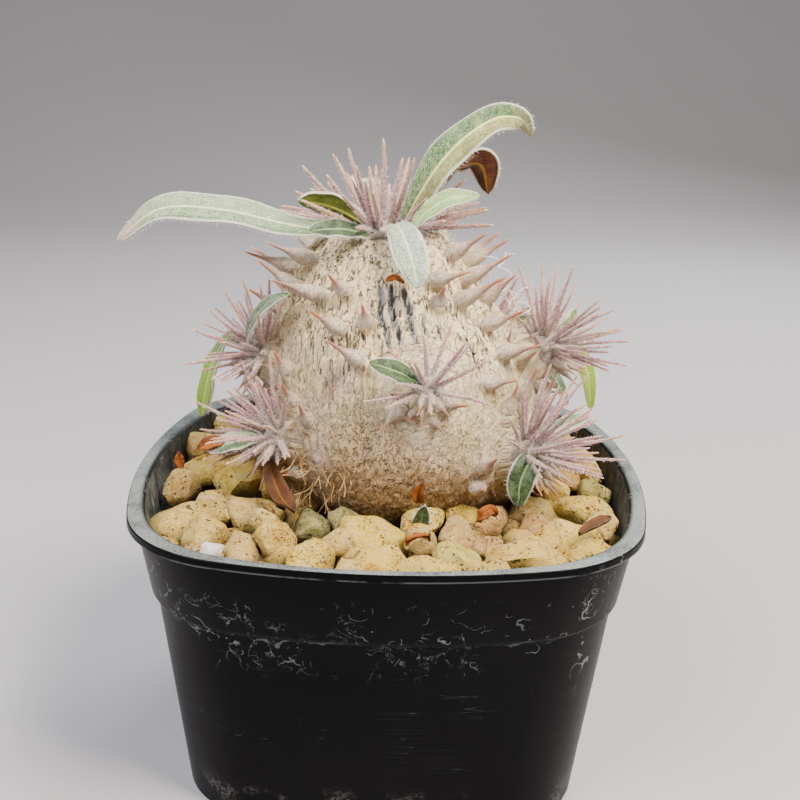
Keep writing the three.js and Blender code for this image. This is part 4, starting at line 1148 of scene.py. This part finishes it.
def blade_look(name, body, rib, other_half=None, tip=None, white=0.5, shine=0.55,
               margin="e6e0d4", tip_start=0.8):
    """A leaf's finish: its two halves, pale midrib and side veins, and the white of its hairs."""
    look = Look(name, {"Subsurface Weight": 0.08, "Subsurface Radius": (0.002, 0.003, 0.001),
                       "Sheen Weight": white * 0.4, "Specular IOR Level": 0.3})
    look.white = white
    chart = look.node("UVMap", {"uv_map": "UVMap"})
    across, along = look.part(chart, "X"), look.part(chart, "Y")
    point = look.place()
    aside = abs(across - 0.5)
    blotched = look.grain(1.6 * mm, point, 4, 0.6)
    flesh = look.blend(across.rise(0.47, 0.53), body, other_half or body)
    flesh = flesh.over(blotched.rise(0.35, 0.75) * 0.3, rib)
    comb = look.node("Math", {"operation": "PINGPONG"}, {0: along * 26 - aside * 9, 1: 0.5})
    veins = comb.rise(0.4, 0.5) * aside.rise(0.02, 0.06) * aside.rise(0.5, 0.42)
    flesh = flesh.over(veins * 0.22, rib)
    if tip:
        flesh = flesh.over(along.rise(tip_start, tip_start + 0.16) * 0.85, tip)
    midrib = aside.rise(0.06, 0.025) * along.rise(1.0, 0.9)
    flesh = flesh.over(midrib * 0.85, rib)
    down = look.grain(0.26 * mm, point, 3, 0.8)
    flesh = flesh.over(down.rise(0.48, 0.62) * white, "f0f1ea")
    edge = aside.rise(0.42, 0.48)
    flesh = flesh.over(edge * 0.6, margin)
    look.feed("Base Color", flesh)
    look.feed("Roughness", down * 0.3 + (shine - 0.1))
    look.bump(down * 0.5 + veins * -0.4 + midrib * 0.5, 0.12 * mm)
    return look


hair_shape = reed_shape("hair_shape", 3, [], 1)
shields = []
fur = Look("pale_fur", {"Roughness": 0.75, "Sheen Weight": 0.4, "Specular IOR Level": 0.2})
fur_place = fur.place()
fur.feed("Base Color", fur.blend(fur.grain(1.5 * mm, fur_place), "e0d6cd", "fbf9f4"))
# Finish of each kind of leaf above and below: body, rib, other half, tip, white of its hairs, and
# where it differs its shine, margin and start of the tip
leaf_finishes = {
    "silver": [("3a6830", "cfd79c", "768c68", "a9807a", 0.4), ("8a9c7c", "ccd2a6", None, None, 0.65)],
    "felted": [("7d9276", "c4cbae", "6c8463", None, 0.66), ("8fa088", "c8cdb4", None, None, 0.8)],
    "tall": [("2c5f24", "dfe084", "6e7020", "8a8255", 0.3), ("93793f", "cf9c60", None, "a9571f", 0.25)],
    "curled": [("8d988c", "c6cab4", None, None, 0.85), ("380504", "a8801c", "4c0a07", None, 0.03, 0.4)],
    "pale": [("6f9a44", "c6d58a", None, None, 0.4), ("93a96e", "c6d49a", None, None, 0.5)],
    "olive": [("6a7a35", "b9c081", None, None, 0.6), ("4a5c06", "b4ba4e", None, None, 0.05, 0.42)],
    "green": [("0f330b", "8cab62", "0c2a09", None, 0.1, 0.42), ("6c8256", "adba85", None, None, 0.5)],
    "strap": [("2e4a24", "97a578", "3a5430", None, 0.2), ("5c7048", "a5b080", None, None, 0.3)],
    "yellow": [("5c7440", "b9c860", None, "84a400", 0.16, 0.45, "e6e0d4", 0.36),
               ("7a9600", "c0cc20", None, None, 0.06, 0.42)],
    "dry": [("522903", "744b0b", "3d1e02", "2a1502", 0.02, 0.6, "3a1e02"),
            ("482303", "633e09", None, None, 0.02, 0.6, "3a1e02")],
}
leaf_looks = {
    kind: [blade_look(kind + "_leaf", *upper), blade_look(kind + "_leaf_under", *under)]
    for kind, (upper, under) in leaf_finishes.items()}


def grow_leaf(name, path, width, widest, face, kind, end_face=None, cup=1):
    """A leaf or a dead scrap of one, with the finishes of its kind on both sides."""
    top, under = leaf_looks[kind]
    hairy = kind not in ("dry", "old")
    blade = add_blade(name, path, width, widest, face, end_face, cup, [top, fur, under], hairy)
    return finish_piece(blade)


for name, leaf in leaves.items():
    blade = grow_leaf(name + "_leaf", *leaf)
    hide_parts("leaf_" + name)
for name, leaf in dry_leaves.items():
    blade = grow_leaf(name + "_blade", *leaf)
    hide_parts(name)

# The growing tips: each is a woolly bud on the end of a branch or of the stem, out of which the
# spines stand in all directions. A spine is pink to mauve, hardly thicker than a pin, and
# furred with short pale hairs; the lower ones have hardened into swollen thorns.
crown_radius = 9.2 * mm
crown_height = 3 * mm
crown_needles = 46
crown_spread = 84
crown_lengths = (9 * mm, 14 * mm)
crown_seed = 97
needle_radii = [(0, 0.7), (0.12, 0.62), (0.35, 0.5), (0.65, 0.4), (0.86, 0.31), (0.96, 0.22), (1, 0.06)]
needle_slenderness = 20
fur_per_needle = 100
golden_angle = math.pi * (3 - math.sqrt(5))
leaf_gap = 0.6 * mm
needle_start = 1.5
shortest_needle = 2.5 * mm
crown_fine_needles = 52
crown_fine_spread = 80
crown_bud_hairs = 900
shoulder_hairs = 700
sparse_head = 20
tip_bud_hairs = 260
nape_hairs = 240
longest_swollen = 7 * mm


def furred_needle(name, draw):
    """A needle of unit radius and height with hairs standing out of it, as a small shape."""
    bm = bmesh.new()
    bmesh.ops.create_cone(
        bm, cap_ends=True, segments=6, radius1=1, radius2=1, depth=needle_slenderness,
        matrix=Matrix.Translation((0, 0, needle_slenderness / 2)))
    for share, radius in needle_radii[1:-1]:
        bmesh.ops.bisect_plane(bm, geom=[*bm.verts, *bm.edges, *bm.faces],
                               plane_co=(0, 0, share * needle_slenderness), plane_no=(0, 0, 1))
    needle_faces = len(bm.faces)
    for hair in range(fur_per_needle):
        turn, lift = draw() * 2 * math.pi, 0.2 + draw() * 0.8
        outwards = Vector((math.cos(turn), math.sin(turn), 0))
        foot = outwards * 0.85 + Vector((0, 0, (0.04 + 0.94 * draw()) * needle_slenderness))
        leaning = (outwards + Vector((0, 0, lift))).normalized()
        length = 0.7 + 1.1 * draw()
        bmesh.ops.create_cone(
            bm, cap_ends=True, segments=3, radius1=0.085, radius2=0, depth=length,
            matrix=turned_to(leaning, foot + leaning * length / 2))
    bm.faces.ensure_lookup_table()
    for face in bm.faces[needle_faces:]:
        face.material_index = 1
    bmesh.ops.scale(bm, vec=(1, 1, 1 / needle_slenderness), verts=bm.verts)
    return as_mesh(name, bm)


draw = random_from(53)
needle_shapes = [furred_needle(name, draw) for name in ("needle_a", "needle_b", "needle_c")]
swollen_shape = reed_shape("swollen_shape", 10, [share for share, radius in thorn_radii[1:-1]], 3)


def cap_directions(axis, count, spread, draw):
    """Needle directions spread evenly over a cap about an axis."""
    across, upward = frame_across(axis)
    directions = []
    for index in range(count):
        share = (index + 0.5) / count
        jitter = (draw() - 0.5) * 0.16
        tilt = math.radians(spread) * math.sqrt(share) * (1 + jitter)
        turn = index * golden_angle + (draw() - 0.5) * 0.5
        directions.append((axis * math.cos(tilt) + across * (math.sin(tilt) * math.cos(turn))
                           + upward * (math.sin(tilt) * math.sin(turn))).normalized())
    return directions


def clear_length(root, direction, length):
    """How long a spine can be before it would run into a leaf."""
    start = root + direction * needle_start * mm
    for shield in shields:
        distance = shield.ray_cast(start, direction, length)[3]
        if distance is not None:
            length = min(length, distance + needle_start * mm - leaf_gap)
    return length


def add_needle(bm, draw, root, direction, length, thickness=1.0):
    """One spine with its fur, a little bent, unless a leaf leaves it no room."""
    across, upward = frame_across(direction)
    bend = (across * (draw() - 0.5) + upward * (draw() - 0.5)) * length * 0.14
    profile = [(share, radius * thickness) for share, radius in needle_radii]
    shape = needle_shapes[int(draw() * 2.999)]
    tone = draw()
    length = clear_length(root, direction, length)
    if length > shortest_needle:
        stamp(bm, shape, along_reed(root, direction, length, profile, bend), tone)


def add_bud(bm, draw, middle, sizes, hairs):
    """The woolly bud that the spines grow from: an uneven lump covered with tangled hairs."""
    seed = Vector((draw(), draw(), draw())) * 40

    def where(point):
        swell = 1 + 0.16 * noise.noise(point * 2.5 + seed) + 0.08 * noise.noise(point * 7 + seed)
        return middle + Vector((point.x * sizes.x, point.y * sizes.y, point.z * sizes.z)) * swell

    stamp(bm, bud_shape, where, 0.5)
    for hair in range(hairs):
        facing = random_direction(draw)
        foot = middle + Vector((facing.x * sizes.x, facing.y * sizes.y, facing.z * sizes.z)) * 0.95
        curled = (facing + random_direction(draw) * 0.8).normalized()
        add_hair(bm, foot, curled, (0.7 + draw()) * mm)


bud_shape = ball_shape("bud_shape", 3)
for polygon in bud_shape.polygons:
    polygon.material_index = 2

spine = Look("furred_spines", {"Specular IOR Level": 0.25, "Roughness": 0.65, "Sheen Weight": 0.3})
point = spine.place()
along = spine.mark("along")
tone = spine.mark("tone")
mauve = spine.ramp(along, (0, "b3a49a"), (0.25, "a8747a"), (0.75, "bc8380"),
                   (0.92, "d08a58"), (1, "f0dfc4"))
straw = spine.ramp(along, (0, "a08a70"), (0.4, "c4926f"), (0.85, "d6955c"),
                   (0.95, "cd7328"), (1, "ecd2a8"))
flesh = spine.blend(tone.rise(0.6, 0.95) * 0.85, mauve, straw)
pale = spine.grain(0.3 * mm, point, 3, 0.8).rise(0.45, 0.6)
flesh = flesh.over(pale * 0.5, "efe6e1")
ridged = spine.grain(0.45 * mm, point, 3)
spine.feed("Base Color", flesh.over(ridged.rise(0.54, 0.68) * 0.6, "713f44"))
spine.bump(ridged + pale, 0.1 * mm)
wool = Look("woolly_bud", {"Roughness": 0.9, "Sheen Weight": 0.3})
point = wool.place()
strands = wool.grain(0.4 * mm, wool.warped(point, 1 * mm, 2 * mm), 5, 0.75)
wool_tint = wool.ramp(strands, (0.3, "7c6c5c"), (0.5, "ab9c88"), (0.7, "dcd2c2"))
wool.feed("Base Color", wool_tint)
wool.bump(strands, 0.5 * mm)

crown = marked_bmesh()
draw = random_from(crown_seed)
middle = Vector((stem_at(crown_seat)[0], caudex_depth, crown_seat + clearance))
for direction in cap_directions(Vector((0, 0, 1)), crown_needles, crown_spread, draw):
    lean = math.hypot(direction.x, direction.y)
    short, long = crown_lengths
    length = long - (long - short) * draw() * (1 - 0.3 * lean)
    rise = crown_height * (1 - lean * lean) * 0.5 + 0.75 * mm
    root = middle + Vector((direction.x * crown_radius * 0.8, direction.y * crown_radius * 0.8, rise))
    extra = random_from(1 + int(length * 1e6))
    add_needle(crown, extra, root, direction, length, 0.95 + 0.25 * extra())
draw = random_from(701)
for direction in cap_directions(Vector((0, 0, 1)), crown_fine_needles, crown_fine_spread, draw):
    lean = math.hypot(direction.x, direction.y)
    root = middle + Vector((direction.x * crown_radius * 0.86, direction.y * crown_radius * 0.86,
                            crown_height * (1 - lean * lean) * 0.5 + 0.5 * mm))
    add_needle(crown, draw, root, direction, (5.5 + draw() * 4.5) * mm, 0.85)
add_bud(crown, draw, middle + Vector((0, 0, -1.1 * mm)),
        Vector((crown_radius, crown_radius * 1.04, crown_height * 0.95)), crown_bud_hairs)
for hair in range(shoulder_hairs):
    foot = stem_point(360 * draw(), (crown_level - 7 * draw() ** 2) * mm, 0.1 * mm)
    outwards = (foot - Vector((middle.x, middle.y, foot.z))).normalized()
    lying = (outwards * 0.35 + random_direction(draw)).normalized()
    add_hair(crown, foot, lying, (1 + 1.8 * draw()) * mm)
crown_piece = finish_piece(new_object("crown_of_spines", crown), [spine, fur, wool])
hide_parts("spines_crown")

for name, (at, faces, start, radii, needles, spread, lengths, seed) in heads.items():
    tip = marked_bmesh()
    draw = random_from(seed)
    middle, towards = in_metres(at), heading(*faces)
    radius = radii[1] * mm
    for direction in cap_directions(towards, needles, spread, draw):
        length = (lengths[0] + (lengths[1] - lengths[0]) * draw()) * mm
        extra = random_from(seed + int(length * 1e6))
        root = middle - towards * radius * 0.3 + direction * radius * 0.8
        if direction.z < -0.2:
            length = min(clear_length(root, direction, length), longest_swollen)
            add_thorn(tip, extra, root - direction * mm, direction, length, 0.6, swollen_shape)
        else:
            add_needle(tip, extra, root, direction, length, 0.68 + 0.26 * extra())
    draw = random_from(seed + 900)
    fine_needles = needles * 2 if needles > sparse_head else needles // 3
    for direction in cap_directions(towards, fine_needles, spread, draw):
        root = middle - towards * radius * 0.35 + direction * radius * 0.85
        if direction.z > -0.3:
            add_needle(tip, draw, root, direction, (4 + draw() * 6) * mm, 0.6)
    bud_middle = middle - towards * radius * 0.35
    add_bud(tip, draw, bud_middle, Vector((radius, radius, radius)) * 0.8, tip_bud_hairs)
    nape = middle - towards * radius
    for hair in range(nape_hairs):
        facing = random_direction(draw)
        foot = nape + facing * radius * 1.03
        lying = (facing * 0.5 + random_direction(draw)).normalized()
        add_hair(tip, foot, lying, (0.6 + 0.9 * draw()) * mm)
    tip_piece = finish_piece(new_object("spine_head_" + name, tip), [spine, fur, wool, horn])
    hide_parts("spines_" + name)

# Small dead bits lie about the plant: curled scraps of old leaves, a dry bud and fine fibres that
# have caught on the bark and the thorns.
scraps = {
    "scrap_left": ([(-28.6, -12.6, 61.2), (-31, -12.8, 60.8), (-33.2, -12.4, 59.6)],
                   2.4, 0.5, (-0.3, -0.7, 0.6), "old", None, 2.2),
    "scrap_crown": ([(-0.9, -12.5, 90.2), (0.6, -13, 90.9), (2, -12.7, 90)],
                    1, 0.4, (0, -0.9, 0.4), "old", None, 3),
    "scrap_curl": ([(15.6, -22.6, 51.8), (16.4, -23.6, 53.4), (17.6, -23.2, 54), (18.6, -22.4, 53)],
                   2, 0.5, (-0.2, -0.4, 0.9), "old", (-0.2, -0.9, 0.4), 2.6),
    "scrap_bud": ([(5.6, -18.6, 53.4), (5.4, -19.6, 55.4), (6.2, -19.8, 57.4)],
                  2, 0.45, (0, -0.95, 0.2), "old", None, 3),
    "scrap_wall": ([(-37.4, -8, 54.2), (-37.9, -7.8, 55.6), (-37.8, -7.6, 57)],
                   1.8, 0.5, (0.6, -0.7, 0.3), "old", None, 2),
    "scrap_stones": ([(3.4, -31.4, 51.9), (5.4, -30.9, 52.6), (7.4, -30, 52.3)],
                     0.6, 0.5, (0, -0.4, 0.9), "old", None, 1.6),
}
fibre_steps = 10
fibre_bends = 6
fibre_radius = 0.07 * mm
caught_fibres = 120

old_leaf = blade_look("old_leaf", "8a4400", "b87424", "6a3000", "4a2200", 0.02, 0.6, "6e3800")
leaf_looks["old"] = [old_leaf, old_leaf]
for name, leaf in scraps.items():
    scrap = grow_leaf(name, *leaf)

fibre_levels = [step / fibre_steps for step in range(1, fibre_steps)]
white_fibre = reed_shape("white_fibre", 4, fibre_levels, 0)
brown_fibre = reed_shape("brown_fibre", 4, fibre_levels, 1)


def add_fibre(bm, draw, shape, at, length, curl, lean):
    """A fine fibre that curls about as it goes."""
    direction = (lean + random_direction(draw)).normalized()
    axis = random_direction(draw)
    points = [at]
    for step in range(fibre_bends):
        direction = Matrix.Rotation(curl * (0.5 + draw()), 3, axis) @ direction
        points.append(points[-1] + direction * length / fibre_bends)
    at_share = curve_through(points)[0]

    def where(point):
        along = at_share(min(1, point.z + 0.01)) - at_share(max(0, point.z - 0.01))
        across, upward = frame_across(along.normalized())
        return at_share(point.z) + (across * point.x + upward * point.y) * fibre_radius

    stamp(bm, shape, where, draw())


loose = marked_bmesh()
draw = random_from(877)
white_tufts = [((7.9, 0, 98.6), (0.4, 0, 0.6)), ((18.4, -1, 90.6), (0.6, -0.2, 0.5)),
               ((22.4, -3, 85.6), (0.7, -0.2, 0.3)), ((21.6, -2, 84.4), (0.7, -0.3, 0.1))]
for at, lean in white_tufts:
    for fibre in range(3):
        add_fibre(loose, draw, white_fibre, in_metres(at), (5 + 4 * draw()) * mm, 0.8, Vector(lean))
for fibre in range(caught_fibres):
    compass, height = -22 - 34 * draw(), 51.5 + 9 * draw()
    foot = stem_point(compass, height * mm, 0.5 * mm)
    lying = Vector((0.5, -0.1, -0.4)) + (foot - Vector((0, caudex_depth, foot.z))).normalized() * 0.2
    add_fibre(loose, draw, brown_fibre, foot, (2.5 + 4 * draw()) * mm, 0.25, lying * 0.8)
straw_fibre = Look("straw_fibre", {"Roughness": 0.8, "Specular IOR Level": 0.2})
straw_patches = straw_fibre.grain(2 * mm, straw_fibre.place()).rise(0.35, 0.65)
straw_fibre.feed("Base Color", straw_fibre.blend(straw_patches, "7c5a34", "c9a877"))
fibres = finish_piece(new_object("loose_fibres", loose), [fur, straw_fibre])

# A plain pale floor that curves up into a backdrop, soft lamps and the camera. They aren't part
# of the object.
floor_front = -1.2
floor_back = 0.6
floor_width = 3.84
sweep_radius = 0.5
sweep_steps = 8
wall_height = 2
sweep_profile = [(floor_front, 0), (floor_back, 0)]
for step in range(1, sweep_steps + 1):
    angle = math.pi / 2 * step / sweep_steps
    rise = sweep_radius * (1 - math.cos(angle))
    sweep_profile.append((floor_back + sweep_radius * math.sin(angle), rise))
sweep_profile.append((floor_back + sweep_radius, wall_height))
sweep = bmesh.new()
sweep_spans = len(sweep_profile) - 1
bmesh.ops.create_grid(sweep, x_segments=1, y_segments=sweep_spans, size=1)
for vert in sweep.verts:
    depth, height = sweep_profile[round((vert.co.y + 1) / 2 * sweep_spans)]
    vert.co = (vert.co.x * floor_width / 2, depth, height)
floor = new_object("studio_floor", sweep)
paper = Look("pale_paper", {"Roughness": 0.9, "Specular IOR Level": 0.2})
paper.feed("Base Color", paper.blend(paper.grain(0.4, paper.place()), "a29fa2", "acaaac"))
floor.data.materials.append(paper.material)
floor.data.shade_smooth()

subject = Vector((0, 0, 0.06))


def add_lamp(name, place, size, power, warmth):
    lamp = bpy.data.lights.new(name, "AREA")
    lamp.shape = "SQUARE"
    lamp.size = size
    lamp.energy = power
    lamp.color = tint(warmth)[:3]
    made = bpy.data.objects.new(name, lamp)
    bpy.context.scene.collection.objects.link(made)
    made.location = place
    made.rotation_euler = (subject - Vector(place)).to_track_quat("-Z", "Y").to_euler()


add_lamp("key_lamp", (0.25, -0.18, 0.48), 0.2, 8, "fff4e4")
add_lamp("fill_lamp", (-0.34, -0.26, 0.5), 0.4, 6.6, "f8f6fc")
add_lamp("back_lamp", (0.25, 0.45, 0.45), 0.35, 4.6, "ffffff")
sky = bpy.data.worlds.new("soft_room")
sky.use_nodes = True
sky.node_tree.nodes["Background"].inputs["Color"].default_value = tint("c8c9cd")
sky.node_tree.nodes["Background"].inputs["Strength"].default_value = 0.42
bpy.context.scene.world = sky

camera_place = in_metres((2.723, -191.21, 126.98))
camera_azimuth = math.radians(0.831)
camera_pitch = math.radians(19.729)
camera_roll = math.radians(1.262)
focal_pixels = 1093
frame_pixels = 800
principal_point = (389.06, 436.41)
sensor_width = 36
ahead = Vector((-math.sin(camera_azimuth) * math.cos(camera_pitch),
                math.cos(camera_azimuth) * math.cos(camera_pitch), -math.sin(camera_pitch)))
level = Vector((math.cos(camera_azimuth), math.sin(camera_azimuth), 0))
above = level.cross(ahead)
rightwards = level * math.cos(camera_roll) + above * math.sin(camera_roll)
upwards = above * math.cos(camera_roll) - level * math.sin(camera_roll)
lens = bpy.data.cameras.new("camera")
lens.sensor_width = sensor_width
lens.lens = sensor_width * focal_pixels / frame_pixels
lens.shift_x = (frame_pixels / 2 - principal_point[0]) / frame_pixels
lens.shift_y = (principal_point[1] - frame_pixels / 2) / frame_pixels
lens.clip_start = 0.01
camera = bpy.data.objects.new("camera", lens)
bpy.context.scene.collection.objects.link(camera)
turned = Matrix((rightwards, upwards, -ahead)).transposed().to_4x4()
camera.matrix_world = Matrix.Translation(camera_place) @ turned
bpy.context.scene.camera = camera
